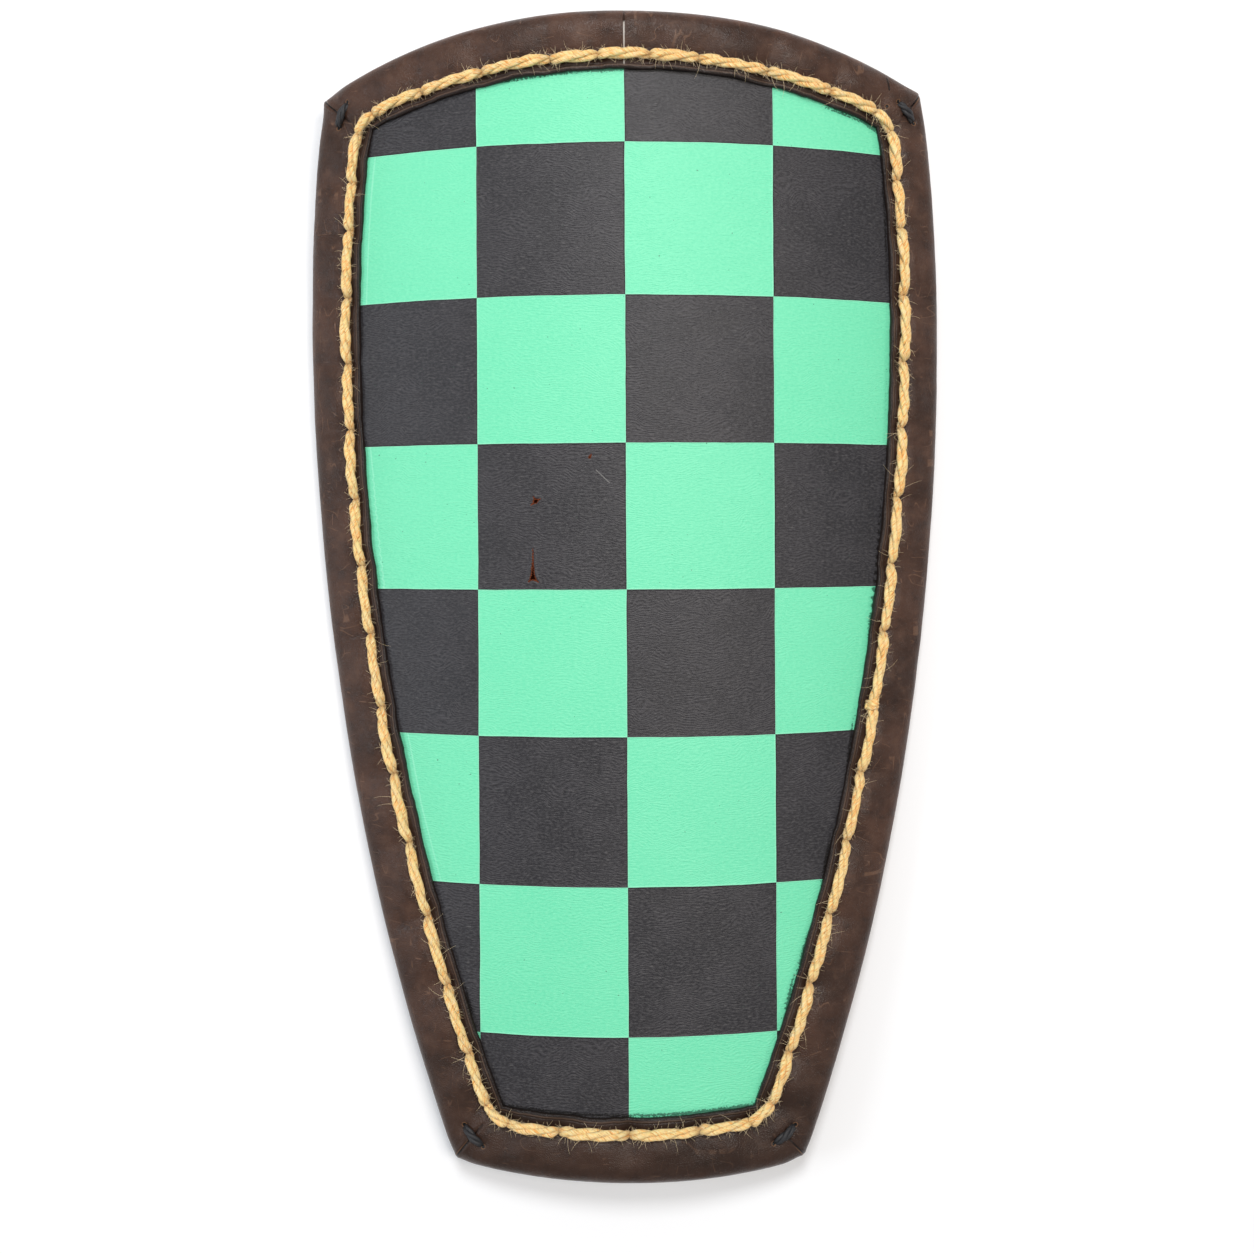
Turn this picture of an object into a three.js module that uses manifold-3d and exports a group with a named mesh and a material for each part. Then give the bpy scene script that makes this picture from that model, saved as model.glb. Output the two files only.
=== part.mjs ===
// A punch shield: a small curved shield of plywood, faced with painted canvas, its rim bound in padded
// leather that is sewn through the board with one thick jute cord, with a wooden grip behind.
// Millimetres. It lies face up on its two long edges, +Y towards its top end, +Z up, and the origin is
// under the middle of the whole shield.
//
// Every piece but the grip is laid out on the flat pattern, as a saddler cuts it, and then bent round the
// shield's long axis: s runs across the face along the curve, y runs up it, and h is the height over the
// front of the canvas.
import * as THREE from "three";
import { mergeVertices } from "three/addons/utils/BufferGeometryUtils.js";
import Module from "manifold-3d";

const wasm = await Module();
wasm.setup();

// Outline of the flat pattern: four corners joined by a bowed top, two long sides and a bowed bottom
const TOP_WIDTH = 393;
const BOTTOM_WIDTH = 215;
const TOP_CORNER_Y = 315.2;
const BOTTOM_CORNER_Y = -343.5;
const TOP_BOW = 36.5;
const BOTTOM_BOW = 8.3;
const UPPER_BELLY_OUT = 13.6;
const UPPER_BELLY_DOWN = 35;
const LOWER_BELLY_OUT = 138.8;
const LOWER_BELLY_UP = 348.7;

// Bend and layers, from the front of the canvas backwards
const FACE_RADIUS = 370;
const FIT_GAP = 0.3;
const CANVAS_THICKNESS = 0.8;
const BOARD_THICKNESS = 8;

// Leather rim: how far it reaches in over the face, its thickness, and how high it is padded
const BOARD_INSET = 7;
const TOP_FLAP = 36.7;
const SIDE_FLAP = 42;
const BOTTOM_FLAP = 39.5;
const LEATHER_THICKNESS = 3;
const LEATHER_SQUEEZED = 2.6;
const PADDING_HEIGHT = 5.5;
const PADDING_CREST = 13;
const EDGE_BEND = 4;
const EDGE_FLAT = 6;
const EDGE_DROP = 2.4;

// Jute cord: its line inside the outer edge, its size, and the stitches from hole to hole
const TOP_CORD_LINE = 28.3;
const SIDE_CORD_LINE = 33;
const BOTTOM_CORD_LINE = 30;
const CORD_RADIUS = 3.2;
const CORD_PINCHED_RADIUS = 2.2;
const CORD_BED = 4.5;
const CORD_RISE = 0.4;
const BACK_CORD_RADIUS = 2.2;
const CORD_IN_HOLE = 3.6;
const HOLE_WIDTH = 5.4;
const AWL_LENGTH = 300;
const CORNER_REACH = 9.5;
const TOP_STITCHES = [35, 40, 42, 28, 31, 28.5, 43, 41, 33];
const SIDE_STITCHES = [32, 30, 42, 41, 41, 43, 41, 42, 45, 41, 42, 45, 42, 42, 32];
const BOTTOM_STITCHES = [31, 41.6, 41.6, 31];

// The thread that closes the leather's fold at each corner
const THREAD_RADIUS = 1.8;
const THREAD_LENGTH = 14;
const THREAD_INSET = 21.5;
const THREAD_HEIGHT = 5.6;
const THREAD_ROOT = 0.8;

// Grip: one piece of ash with two feet, across the back at the balance point
const GRIP_Y = 20;
const GRIP_LENGTH = 165;
const GRIP_DEPTH = 28;
const FINGER_WIDTH = 105;
const FINGER_ROOM = 30;
const BAR_THICKNESS = 18;
const LEG_THICKNESS = 12;
const FOOT_THICKNESS = 9;
const GRIP_EASE = 10;
const GRIP_SHOULDER = 16;
const GRIP_ROUNDING = 4;

// Wood screws through the feet
const SCREW_SPACING = 14;
const SCREW_RADIUS = 2;
const SCREW_HEAD_RADIUS = 4;
const SCREW_HEAD_HEIGHT = 2.6;
const SCREW_BITE = 5;

// Lying flat: how deep the long edges are worn where they rest
const REST_WEAR = 0.5;

// Facets: across the face, down its sides, along a stitch and round the cord
const END_FACETS = 12;
const SIDE_FACETS = 10;
const STITCH_STEPS = 3;
const CORD_SIDES = 5;
const BACK_CORD_SIDES = 4;
const THREAD_SIDES = 4;
const HOLE_SIDES = 4;
const ROUND_SIDES = 8;

// Weights in kilograms per cubic metre, for the balance point alone
const WOOD_DENSITY = 650;
const LEATHER_DENSITY = 900;
const CORD_DENSITY = 500;
const STEEL_DENSITY = 7800;

// Levels of the layers, as heights over the front of the canvas
const CANVAS_BACK = -CANVAS_THICKNESS;
const BOARD_FRONT = CANVAS_BACK - FIT_GAP;
const BOARD_BACK = BOARD_FRONT - BOARD_THICKNESS;
const SLOT_FRONT = FIT_GAP;
const SLOT_BACK = BOARD_BACK - FIT_GAP;
const BED_FRONT = SLOT_FRONT + LEATHER_SQUEEZED;
const BED_BACK = SLOT_BACK - LEATHER_SQUEEZED;

const colours = { face: 0x8bf5c7, ply: 0xb98f5e, leather: 0x52392f, jute: 0xebc589, thread: 0x1d1a19 };
const canvasPaint = new THREE.MeshStandardMaterial({ color: colours.face, roughness: 0.6 });
const plywood = new THREE.MeshStandardMaterial({ color: colours.ply, roughness: 0.75 });
const leather = new THREE.MeshStandardMaterial({ color: colours.leather, roughness: 0.55 });
const jute = new THREE.MeshStandardMaterial({ color: colours.jute, roughness: 0.9 });
const blackThread = new THREE.MeshStandardMaterial({ color: colours.thread, roughness: 0.7 });
const ash = new THREE.MeshStandardMaterial({ color: 0xc79a66, roughness: 0.6 });
const steel = new THREE.MeshStandardMaterial({ color: 0x8d8f92, roughness: 0.35, metalness: 1 });

// The flat pattern's four sides, clockwise from the top left corner
const corner = {
  topLeft: new THREE.Vector2(-TOP_WIDTH / 2, TOP_CORNER_Y),
  topRight: new THREE.Vector2(TOP_WIDTH / 2, TOP_CORNER_Y),
  bottomRight: new THREE.Vector2(BOTTOM_WIDTH / 2, BOTTOM_CORNER_Y),
  bottomLeft: new THREE.Vector2(-BOTTOM_WIDTH / 2, BOTTOM_CORNER_Y),
};

function bowedEnd(from, to, bow) {
  const middle = new THREE.Vector2(0, from.y + 2 * bow);
  return new THREE.QuadraticBezierCurve(from, middle, to);
}

const rightSide = new THREE.CubicBezierCurve(
  corner.topRight,
  new THREE.Vector2(TOP_WIDTH / 2 + UPPER_BELLY_OUT, TOP_CORNER_Y - UPPER_BELLY_DOWN),
  new THREE.Vector2(BOTTOM_WIDTH / 2 + LOWER_BELLY_OUT, BOTTOM_CORNER_Y + LOWER_BELLY_UP),
  corner.bottomRight,
);
const leftSide = new THREE.CubicBezierCurve(
  corner.bottomLeft,
  new THREE.Vector2(-rightSide.v2.x, rightSide.v2.y),
  new THREE.Vector2(-rightSide.v1.x, rightSide.v1.y),
  corner.topLeft,
);
const sides = [
  bowedEnd(corner.topLeft, corner.topRight, TOP_BOW),
  rightSide,
  bowedEnd(corner.bottomRight, corner.bottomLeft, -BOTTOM_BOW),
  leftSide,
];

// A depth inside the outer edge is one number for each side
const sameDepth = (depth) => sides.map(() => depth);
const ownDepths = (top, side, bottom) => [top, side, bottom, side];

const inwards = (tangent) => new THREE.Vector2(tangent.y, -tangent.x);

// The point at both sides' depths where side k begins, on the corner's mitre line
function mitrePoint(depths, k) {
  const before = sides[(k + 3) % 4];
  const a = inwards(before.getTangentAt(1));
  const b = inwards(sides[k].getTangentAt(0));
  const depthA = depths[(k + 3) % 4];
  const depthB = depths[k];
  const cross = a.x * b.y - a.y * b.x;
  const x = (depthA * b.y - depthB * a.y) / cross;
  const y = (depthB * a.x - depthA * b.x) / cross;
  return sides[k].getPointAt(0).add(new THREE.Vector2(x, y));
}

// The point a share of the way along side k, moved in by that side's depth and run from mitre to mitre
function insetPoint(depths, k, share) {
  const side = sides[k];
  const length = side.getLength();
  const start = mitrePoint(depths, k);
  const end = mitrePoint(depths, (k + 1) % 4);
  const startShare = start.clone().sub(side.getPointAt(0)).dot(side.getTangentAt(0)) / length;
  const endShare = 1 + end.clone().sub(side.getPointAt(1)).dot(side.getTangentAt(1)) / length;
  const moved = (u) => side.getPointAt(u).addScaledVector(inwards(side.getTangentAt(u)), depths[k]);
  const point = moved(THREE.MathUtils.lerp(startShare, endShare, share));
  point.addScaledVector(start.sub(moved(startShare)), 1 - share);
  return point.addScaledVector(end.sub(moved(endShare)), share);
}

// Bends a point of the flat pattern round the shield's long axis
function bend(s, y, h) {
  const angle = s / FACE_RADIUS;
  const radius = FACE_RADIUS + h;
  return new THREE.Vector3(radius * Math.sin(angle), y, radius * Math.cos(angle) - FACE_RADIUS);
}

function bendGeometry(geometry) {
  const position = geometry.getAttribute("position");
  for (let i = 0; i < position.count; i++) {
    const bent = bend(position.getX(i), position.getY(i), position.getZ(i));
    position.setXYZ(i, bent.x, bent.y, bent.z);
  }
  return geometry;
}

// Between three.js geometry and solids that can be cut and joined
function toSolid(geometry) {
  const bare = geometry.clone();
  bare.deleteAttribute("normal");
  bare.deleteAttribute("uv");
  const merged = mergeVertices(bare, 1e-4);
  const vertProperties = merged.getAttribute("position").array;
  const triVerts = new Uint32Array(merged.index.array);
  const solid = new wasm.Manifold(new wasm.Mesh({ numProp: 3, vertProperties, triVerts }));
  if (solid.volume() > 0) return solid;
  for (let i = 0; i < triVerts.length; i += 3) {
    [triVerts[i], triVerts[i + 1]] = [triVerts[i + 1], triVerts[i]];
  }
  return new wasm.Manifold(new wasm.Mesh({ numProp: 3, vertProperties, triVerts }));
}

function toGeometry(solid) {
  const { numProp, vertProperties, triVerts } = solid.getMesh();
  const positions = [];
  for (const vertex of triVerts) {
    positions.push(...vertProperties.subarray(vertex * numProp, vertex * numProp + 3));
  }
  const geometry = new THREE.BufferGeometry();
  geometry.setAttribute("position", new THREE.Float32BufferAttribute(positions, 3));
  geometry.computeVertexNormals();
  return geometry;
}

function faceted(points, triangles) {
  const geometry = new THREE.BufferGeometry();
  geometry.setAttribute("position", new THREE.Float32BufferAttribute(points.flatMap((p) => p.toArray()), 3));
  geometry.setIndex(triangles);
  return toSolid(geometry);
}

// Two triangles for a four-sided facet, split along the diagonal that crosses less of the bend
function facet(points, a, b, c, d) {
  const acrossAC = Math.abs(points[a].x - points[c].x);
  const acrossBD = Math.abs(points[b].x - points[d].x);
  return acrossAC <= acrossBD ? [a, b, c, a, c, d] : [b, c, d, b, d, a];
}

// The four-sided facets of a ring swept through closed sections that all have as many points
function ringFacets(sections) {
  const count = sections[0].length;
  return sections.map((_, i) => {
    const next = (i + 1) % sections.length;
    return Array.from({ length: count }, (__, j) => {
      const k = (j + 1) % count;
      return [i * count + j, next * count + j, next * count + k, i * count + k];
    });
  });
}

// A straight bar between two places, each given as s, y and h, tapered if its end has a radius of its own
function bar(from, to, radius, facets, endRadius = radius) {
  const start = bend(from.x, from.y, from.z);
  const end = bend(to.x, to.y, to.z);
  const along = end.clone().sub(start);
  const turn = new THREE.Quaternion().setFromUnitVectors(new THREE.Vector3(0, 1, 0), along.clone().normalize());
  const geometry = new THREE.CylinderGeometry(endRadius, radius, along.length(), facets);
  geometry.applyQuaternion(turn);
  const middle = start.add(end).multiplyScalar(0.5);
  geometry.translate(middle.x, middle.y, middle.z);
  return toSolid(geometry);
}

const joined = (solids) => solids.reduce((all, solid) => all.add(solid));

const flapDepths = ownDepths(TOP_FLAP, SIDE_FLAP, BOTTOM_FLAP);
const cordDepths = ownDepths(TOP_CORD_LINE, SIDE_CORD_LINE, BOTTOM_CORD_LINE);
const facetsAlong = (side) => (side % 2 ? SIDE_FACETS : END_FACETS);

// Board and canvas

// A bent sheet over the whole pattern, between two heights. Under the rim it has the rim's own facets.
function bentSheet(low, high) {
  const edgeDepths = sameDepth(BOARD_INSET);
  const share = (side, i) => i / facetsAlong(side);
  const inner = (side, i) => insetPoint(flapDepths, side, share(side, i));
  const flatPoint = (column, row) => {
    const u = column / END_FACETS;
    const v = row / SIDE_FACETS;
    const point = inner(0, column).multiplyScalar(1 - v).addScaledVector(inner(2, END_FACETS - column), v);
    point.addScaledVector(inner(3, SIDE_FACETS - row), 1 - u).addScaledVector(inner(1, row), u);
    point.addScaledVector(mitrePoint(flapDepths, 0), -(1 - u) * (1 - v));
    point.addScaledVector(mitrePoint(flapDepths, 1), -u * (1 - v));
    point.addScaledVector(mitrePoint(flapDepths, 2), -u * v);
    return point.addScaledVector(mitrePoint(flapDepths, 3), -(1 - u) * v);
  };
  const flats = [];
  for (let row = 0; row <= SIDE_FACETS; row++) {
    for (let column = 0; column <= END_FACETS; column++) flats.push(flatPoint(column, row));
  }
  const at = (column, row) => row * (END_FACETS + 1) + column;
  const innerLoop = [];
  const outerLoop = [];
  sides.forEach((_, side) => {
    for (let i = 0; i < facetsAlong(side); i++) {
      const onGrid = [at(i, 0), at(END_FACETS, i), at(END_FACETS - i, SIDE_FACETS), at(0, SIDE_FACETS - i)];
      innerLoop.push(onGrid[side]);
      outerLoop.push(flats.length);
      flats.push(insetPoint(edgeDepths, side, share(side, i)));
    }
  });
  const points = [low, high].flatMap((height) => flats.map((flat) => bend(flat.x, flat.y, height)));
  const back = (i) => i;
  const front = (i) => i + flats.length;
  const triangles = [];
  const quad = (a, b, c, d) => triangles.push(...facet(points, a, b, c, d));
  const bothFaces = (a, b, c, d) => {
    quad(back(a), back(b), back(c), back(d));
    quad(front(a), front(d), front(c), front(b));
  };
  for (let row = 0; row < SIDE_FACETS; row++) {
    for (let column = 0; column < END_FACETS; column++) {
      bothFaces(at(column, row), at(column + 1, row), at(column + 1, row + 1), at(column, row + 1));
    }
  }
  outerLoop.forEach((outer, i) => {
    const next = (i + 1) % outerLoop.length;
    bothFaces(outer, outerLoop[next], innerLoop[next], innerLoop[i]);
    quad(back(outerLoop[next]), back(outer), front(outer), front(outerLoop[next]));
  });
  return faceted(points, triangles);
}

// Leather rim

// The rim's section, front to back and then the slot that holds the board: a depth for each side, a height
function rimSection() {
  const bedDepths = cordDepths.map((depth) => depth - CORD_BED);
  const slotDepths = sameDepth(BOARD_INSET - FIT_GAP);
  const crestFront = PADDING_HEIGHT;
  const crestBack = BOARD_BACK - PADDING_HEIGHT;
  const middle = (crestFront + crestBack) / 2;
  return [
    [flapDepths, SLOT_FRONT],
    [flapDepths, SLOT_FRONT + LEATHER_THICKNESS],
    [bedDepths, BED_FRONT],
    [sameDepth(PADDING_CREST), crestFront],
    [sameDepth(EDGE_BEND), crestFront - EDGE_DROP],
    [sameDepth(0), middle + EDGE_FLAT / 2],
    [sameDepth(0), middle - EDGE_FLAT / 2],
    [sameDepth(EDGE_BEND), crestBack + EDGE_DROP],
    [sameDepth(PADDING_CREST), crestBack],
    [bedDepths, BED_BACK],
    [flapDepths, SLOT_BACK - LEATHER_THICKNESS],
    [flapDepths, SLOT_BACK],
    [slotDepths, SLOT_BACK],
    [slotDepths, SLOT_FRONT],
  ];
}

function leatherRing() {
  const section = rimSection();
  const sections = sides.flatMap((_, side) =>
    Array.from({ length: facetsAlong(side) }, (__, i) =>
      section.map(([depths, height]) => {
        const flat = insetPoint(depths, side, i / facetsAlong(side));
        return bend(flat.x, flat.y, height);
      }),
    ),
  );
  const points = sections.flat();
  return faceted(points, ringFacets(sections).flat().flatMap((quad) => facet(points, ...quad)));
}

// Jute cord

// Every hole on the flat pattern, clockwise from the top left corner
function stitchHoles() {
  const lists = [TOP_STITCHES, SIDE_STITCHES, BOTTOM_STITCHES, SIDE_STITCHES.toReversed()];
  return lists.flatMap((stitches, k) => {
    const start = insetPoint(cordDepths, k, 0);
    const span = insetPoint(cordDepths, k, 1).distanceTo(start);
    const margin = CORNER_REACH / span;
    const total = stitches.reduce((sum, stitch) => sum + stitch, 0);
    let run = 0;
    return [0, ...stitches].map((stitch) => {
      run += stitch;
      return insetPoint(cordDepths, k, margin + (1 - 2 * margin) * (run / total));
    });
  });
}

// The cord's run on one face: each stitch leaves one hole, swells and thins again into the next
function cordRun(holes, { steps, facets, towards, bed, fullRadius, pinchedRadius, rise }) {
  return holes.flatMap((hole, i) => {
    const next = holes[(i + 1) % holes.length];
    const along = next.clone().sub(hole).normalize();
    const outwards = inwards(along).negate();
    const start = hole.clone().addScaledVector(along, CORD_IN_HOLE / 2);
    const end = next.clone().addScaledVector(along, -CORD_IN_HOLE / 2);
    return Array.from({ length: steps + 1 }, (_, step) => {
      const swell = Math.sin((Math.PI * step) / steps);
      const radius = THREE.MathUtils.lerp(pinchedRadius, fullRadius, swell);
      const height = bed + towards * (FIT_GAP + radius + rise * swell);
      const flat = start.clone().lerp(end, step / steps);
      return Array.from({ length: facets }, (__, side) => {
        const angle = -towards * (Math.PI / 2 + (Math.PI * (2 * side * towards - towards)) / facets);
        const out = radius * Math.cos(angle);
        const lift = radius * Math.sin(angle);
        return bend(flat.x + out * outwards.x, flat.y + out * outwards.y, height + lift);
      });
    });
  });
}

// Both runs and the lengths that join them through every hole, as one solid
function cordSolid(holes) {
  const front = cordRun(holes, {
    steps: STITCH_STEPS,
    facets: CORD_SIDES,
    towards: 1,
    bed: BED_FRONT,
    fullRadius: CORD_RADIUS,
    pinchedRadius: CORD_PINCHED_RADIUS,
    rise: CORD_RISE,
  });
  const back = cordRun(holes, {
    steps: 1,
    facets: BACK_CORD_SIDES,
    towards: -1,
    bed: BED_BACK - FIT_GAP,
    fullRadius: BACK_CORD_RADIUS,
    pinchedRadius: BACK_CORD_RADIUS,
    rise: 0,
  });
  const points = [...front.flat(), ...back.flat()];
  const frontFacets = ringFacets(front);
  const backFacets = ringFacets(back).map((loop) => loop.map((quad) => quad.map((i) => i + front.flat().length)));
  const quads = [];
  holes.forEach((_, i) => {
    const frontGap = frontFacets[i * (STITCH_STEPS + 1) + STITCH_STEPS].shift();
    const backGap = backFacets[i * 2 + 1].shift();
    const [a, b, c, d] = frontGap;
    const [e, f, g, h] = [backGap[3], backGap[2], backGap[1], backGap[0]];
    quads.push([a, b, f, e], [b, c, g, f], [c, d, h, g], [d, a, e, h]);
  });
  quads.push(...frontFacets.flat(), ...backFacets.flat());
  return faceted(points, quads.flatMap((quad) => facet(points, ...quad)));
}

// The holes, as awls: long thin spikes pushed in from behind, so that each side is one flat face
function awls(holes) {
  const place = (hole, height) => new THREE.Vector3(hole.x, hole.y, height);
  const radius = HOLE_WIDTH / Math.SQRT2;
  const heel = BED_BACK - CORD_RADIUS;
  return joined(
    holes.map((hole) => bar(place(hole, heel), place(hole, heel + AWL_LENGTH), radius, HOLE_SIDES, 0)),
  );
}

// Corner thread: one stitch across the corner's fold, its ends down in the leather
function cornerThread(k, clearance) {
  const outer = mitrePoint(sameDepth(0), k);
  const inner = mitrePoint(sameDepth(1), k);
  const seam = inner.sub(outer).normalize();
  const across = inwards(seam);
  const centre = outer.clone().addScaledVector(seam, THREAD_INSET);
  const radius = THREAD_RADIUS + clearance;
  const at = (reach, height) => {
    const place = centre.clone().addScaledVector(across, reach);
    return new THREE.Vector3(place.x, place.y, height);
  };
  const reach = THREAD_LENGTH / 2 + clearance;
  const legReach = THREAD_LENGTH / 2 - THREAD_RADIUS;
  const span = bar(at(-reach, THREAD_HEIGHT), at(reach, THREAD_HEIGHT), radius, THREAD_SIDES);
  const root = THREAD_ROOT - clearance;
  const legs = [-legReach, legReach].map((side) =>
    bar(at(side, root), at(side, THREAD_HEIGHT), radius, THREAD_SIDES),
  );
  return joined([span, ...legs]);
}

// Grip and screws

const footFront = SLOT_BACK;
const footBack = footFront - FOOT_THICKNESS;
const screwS = (GRIP_LENGTH / 2 + FINGER_WIDTH / 2 + LEG_THICKNESS) / 2;
const screwPlaces = [-1, 1].flatMap((side) =>
  [-1, 1].map((end) => new THREE.Vector2(side * screwS, GRIP_Y + (end * SCREW_SPACING) / 2)),
);

function gripSolid() {
  const barFront = BOARD_BACK - FINGER_ROOM;
  const barBack = barFront - BAR_THICKNESS;
  const fingerHalf = FINGER_WIDTH / 2;
  const legOut = fingerHalf + LEG_THICKNESS;
  const onFoot = (s, height) => bend(s, 0, height);
  const outerTop = onFoot(GRIP_LENGTH / 2, footFront);
  const outerBottom = onFoot(GRIP_LENGTH / 2, footBack);
  const innerTop = onFoot(fingerHalf, footFront);
  const heel = onFoot(legOut + GRIP_EASE / 2, footBack);
  const shape = new THREE.Shape();
  shape.moveTo(-outerTop.x, outerTop.z);
  shape.lineTo(-innerTop.x, innerTop.z);
  shape.lineTo(-fingerHalf, barFront + GRIP_EASE);
  shape.quadraticCurveTo(-fingerHalf, barFront, -fingerHalf + GRIP_EASE, barFront);
  shape.lineTo(fingerHalf - GRIP_EASE, barFront);
  shape.quadraticCurveTo(fingerHalf, barFront, fingerHalf, barFront + GRIP_EASE);
  shape.lineTo(innerTop.x, innerTop.z);
  shape.lineTo(outerTop.x, outerTop.z);
  shape.lineTo(outerBottom.x, outerBottom.z);
  shape.lineTo(heel.x, heel.z);
  shape.quadraticCurveTo(legOut, heel.z, legOut, heel.z - GRIP_EASE / 2);
  shape.lineTo(legOut, barBack + GRIP_SHOULDER);
  shape.quadraticCurveTo(legOut, barBack, legOut - GRIP_SHOULDER, barBack);
  shape.lineTo(-legOut + GRIP_SHOULDER, barBack);
  shape.quadraticCurveTo(-legOut, barBack, -legOut, barBack + GRIP_SHOULDER);
  shape.lineTo(-legOut, heel.z - GRIP_EASE / 2);
  shape.quadraticCurveTo(-legOut, heel.z, -heel.x, heel.z);
  shape.lineTo(-outerBottom.x, outerBottom.z);
  shape.closePath();
  const geometry = new THREE.ExtrudeGeometry(shape, {
    depth: GRIP_DEPTH - 2 * GRIP_ROUNDING,
    curveSegments: 4,
    bevelThickness: GRIP_ROUNDING,
    bevelSize: GRIP_ROUNDING,
    bevelOffset: -GRIP_ROUNDING,
    bevelSegments: 1,
  });
  geometry.rotateX(Math.PI / 2);
  geometry.translate(0, GRIP_Y + GRIP_DEPTH / 2 - GRIP_ROUNDING, 0);
  return toSolid(geometry);
}

// A round-headed screw, its tip upwards in the board and its head under the foot
function screwSolid(place) {
  const seat = footBack - FIT_GAP;
  const tip = BOARD_BACK + SCREW_BITE;
  const profile = [
    [0, seat - SCREW_HEAD_HEIGHT],
    [SCREW_HEAD_RADIUS * 0.7, seat - SCREW_HEAD_HEIGHT],
    [SCREW_HEAD_RADIUS, seat - SCREW_HEAD_HEIGHT / 2],
    [SCREW_HEAD_RADIUS, seat],
    [SCREW_RADIUS, seat],
    [SCREW_RADIUS, tip - SCREW_RADIUS],
    [0, tip],
  ];
  const geometry = new THREE.LatheGeometry(profile.map(([x, y]) => new THREE.Vector2(x, y)), ROUND_SIDES);
  geometry.rotateX(Math.PI / 2);
  geometry.translate(place.x, place.y, 0);
  return toSolid(bendGeometry(geometry));
}

function screwHoles() {
  const top = BOARD_BACK + SCREW_BITE + FIT_GAP;
  const bottom = footBack - FIT_GAP;
  const drill = (place) => new THREE.Vector3(place.x, place.y, 0);
  return joined(
    screwPlaces.map((place) =>
      bar(drill(place).setZ(top), drill(place).setZ(bottom), SCREW_RADIUS + FIT_GAP, ROUND_SIDES),
    ),
  );
}

// Balance and rest

// Mass times centre, and mass, summed over the tetrahedra from the origin to each face
function massAndMoment(solid, density) {
  const { numProp, vertProperties, triVerts } = solid.getMesh();
  const vertex = (i) => new THREE.Vector3().fromArray(vertProperties, triVerts[i] * numProp);
  const moment = new THREE.Vector3();
  let mass = 0;
  for (let i = 0; i < triVerts.length; i += 3) {
    const [a, b, c] = [vertex(i), vertex(i + 1), vertex(i + 2)];
    const share = (density * a.dot(b.clone().cross(c))) / 6;
    mass += share;
    moment.addScaledVector(a.add(b).add(c), share / 4);
  }
  return { mass, moment };
}

// The shield rocks on its two long edges: this is the tilt with the balance point over where they touch
function restTilt(rim, balance) {
  const { numProp, vertProperties } = rim.getMesh();
  const lowest = (tilt) => {
    let best = { y: 0, z: Infinity };
    for (let i = 0; i < vertProperties.length; i += numProp) {
      const y = vertProperties[i + 1] * Math.cos(tilt) - vertProperties[i + 2] * Math.sin(tilt);
      const z = vertProperties[i + 1] * Math.sin(tilt) + vertProperties[i + 2] * Math.cos(tilt);
      if (z < best.z) best = { y, z };
    }
    return best;
  };
  let [low, high] = [-0.3, 0.3];
  for (let step = 0; step < 30; step++) {
    const tilt = (low + high) / 2;
    const over = balance.y * Math.cos(tilt) - balance.z * Math.sin(tilt);
    if (lowest(tilt).y < over) high = tilt;
    else low = tilt;
  }
  return { tilt: low, floor: lowest(low).z + REST_WEAR };
}

function floorBlock(tilt, floor) {
  const reach = TOP_CORNER_Y - BOTTOM_CORNER_Y + TOP_WIDTH;
  const block = new THREE.BoxGeometry(reach, reach, FACE_RADIUS);
  block.translate(0, 0, floor - FACE_RADIUS / 2);
  block.rotateX(-tilt);
  return toSolid(block);
}

// Pieces

const holes = stitchHoles();
const punched = awls(holes);
const drilled = screwHoles();
const board = bentSheet(BOARD_BACK, BOARD_FRONT).subtract(punched).subtract(drilled);
const canvas = bentSheet(CANVAS_BACK, 0).subtract(punched);
const cord = cordSolid(holes);
const grip = gripSolid().subtract(drilled);
const screws = screwPlaces.map(screwSolid);
const threads = [0, 1, 2, 3].map((k) => cornerThread(k, 0));
const threadRoom = joined([0, 1, 2, 3].map((k) => cornerThread(k, FIT_GAP)));
const wholeRim = leatherRing().subtract(punched).subtract(threadRoom);

const weighed = [
  massAndMoment(board, WOOD_DENSITY),
  massAndMoment(canvas, LEATHER_DENSITY),
  massAndMoment(wholeRim, LEATHER_DENSITY),
  massAndMoment(cord, CORD_DENSITY),
  massAndMoment(grip, WOOD_DENSITY),
  ...screws.map((screw) => massAndMoment(screw, STEEL_DENSITY)),
];
const balance = new THREE.Vector3();
weighed.forEach(({ moment }) => balance.add(moment));
balance.divideScalar(weighed.reduce((sum, { mass }) => sum + mass, 0));
const { tilt, floor } = restTilt(wholeRim, balance);
const rim = wholeRim.subtract(floorBlock(tilt, floor));

const shield = new THREE.Group();
shield.rotation.x = tilt;
shield.position.z = -floor;

function place(name, solid, material) {
  const mesh = new THREE.Mesh(toGeometry(solid), material);
  mesh.name = name;
  shield.add(mesh);
}

place("board", board, plywood);
place("front_canvas", canvas, canvasPaint);
place("leather_rim", rim, leather);
place("jute_cord", cord, jute);
["top_left", "top_right", "bottom_right", "bottom_left"].forEach((corner, k) =>
  place(`corner_stitch_${corner}`, threads[k], blackThread),
);
place("grip", grip, ash);
screws.forEach((screw, i) => place(`grip_screw_${i + 1}`, screw, steel));

const part = new THREE.Group();
part.add(shield);
part.updateMatrixWorld(true);
const middle = new THREE.Box3().setFromObject(part, true).getCenter(new THREE.Vector3());
shield.position.x = -middle.x;
shield.position.y = -middle.y;

export default part;
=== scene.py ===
"""A punch shield lying face up on a pale floor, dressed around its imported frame.

Every soft or bent piece is laid out in millimetres on the shield's flat pattern, then bent round its long
axis, tilted to its rest and turned into metres: s runs across the face along the curve, y runs up it, and
h is the height over the front of the canvas.
"""

import math

import bpy
import numpy as np
from mathutils import Matrix, Vector, noise

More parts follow.
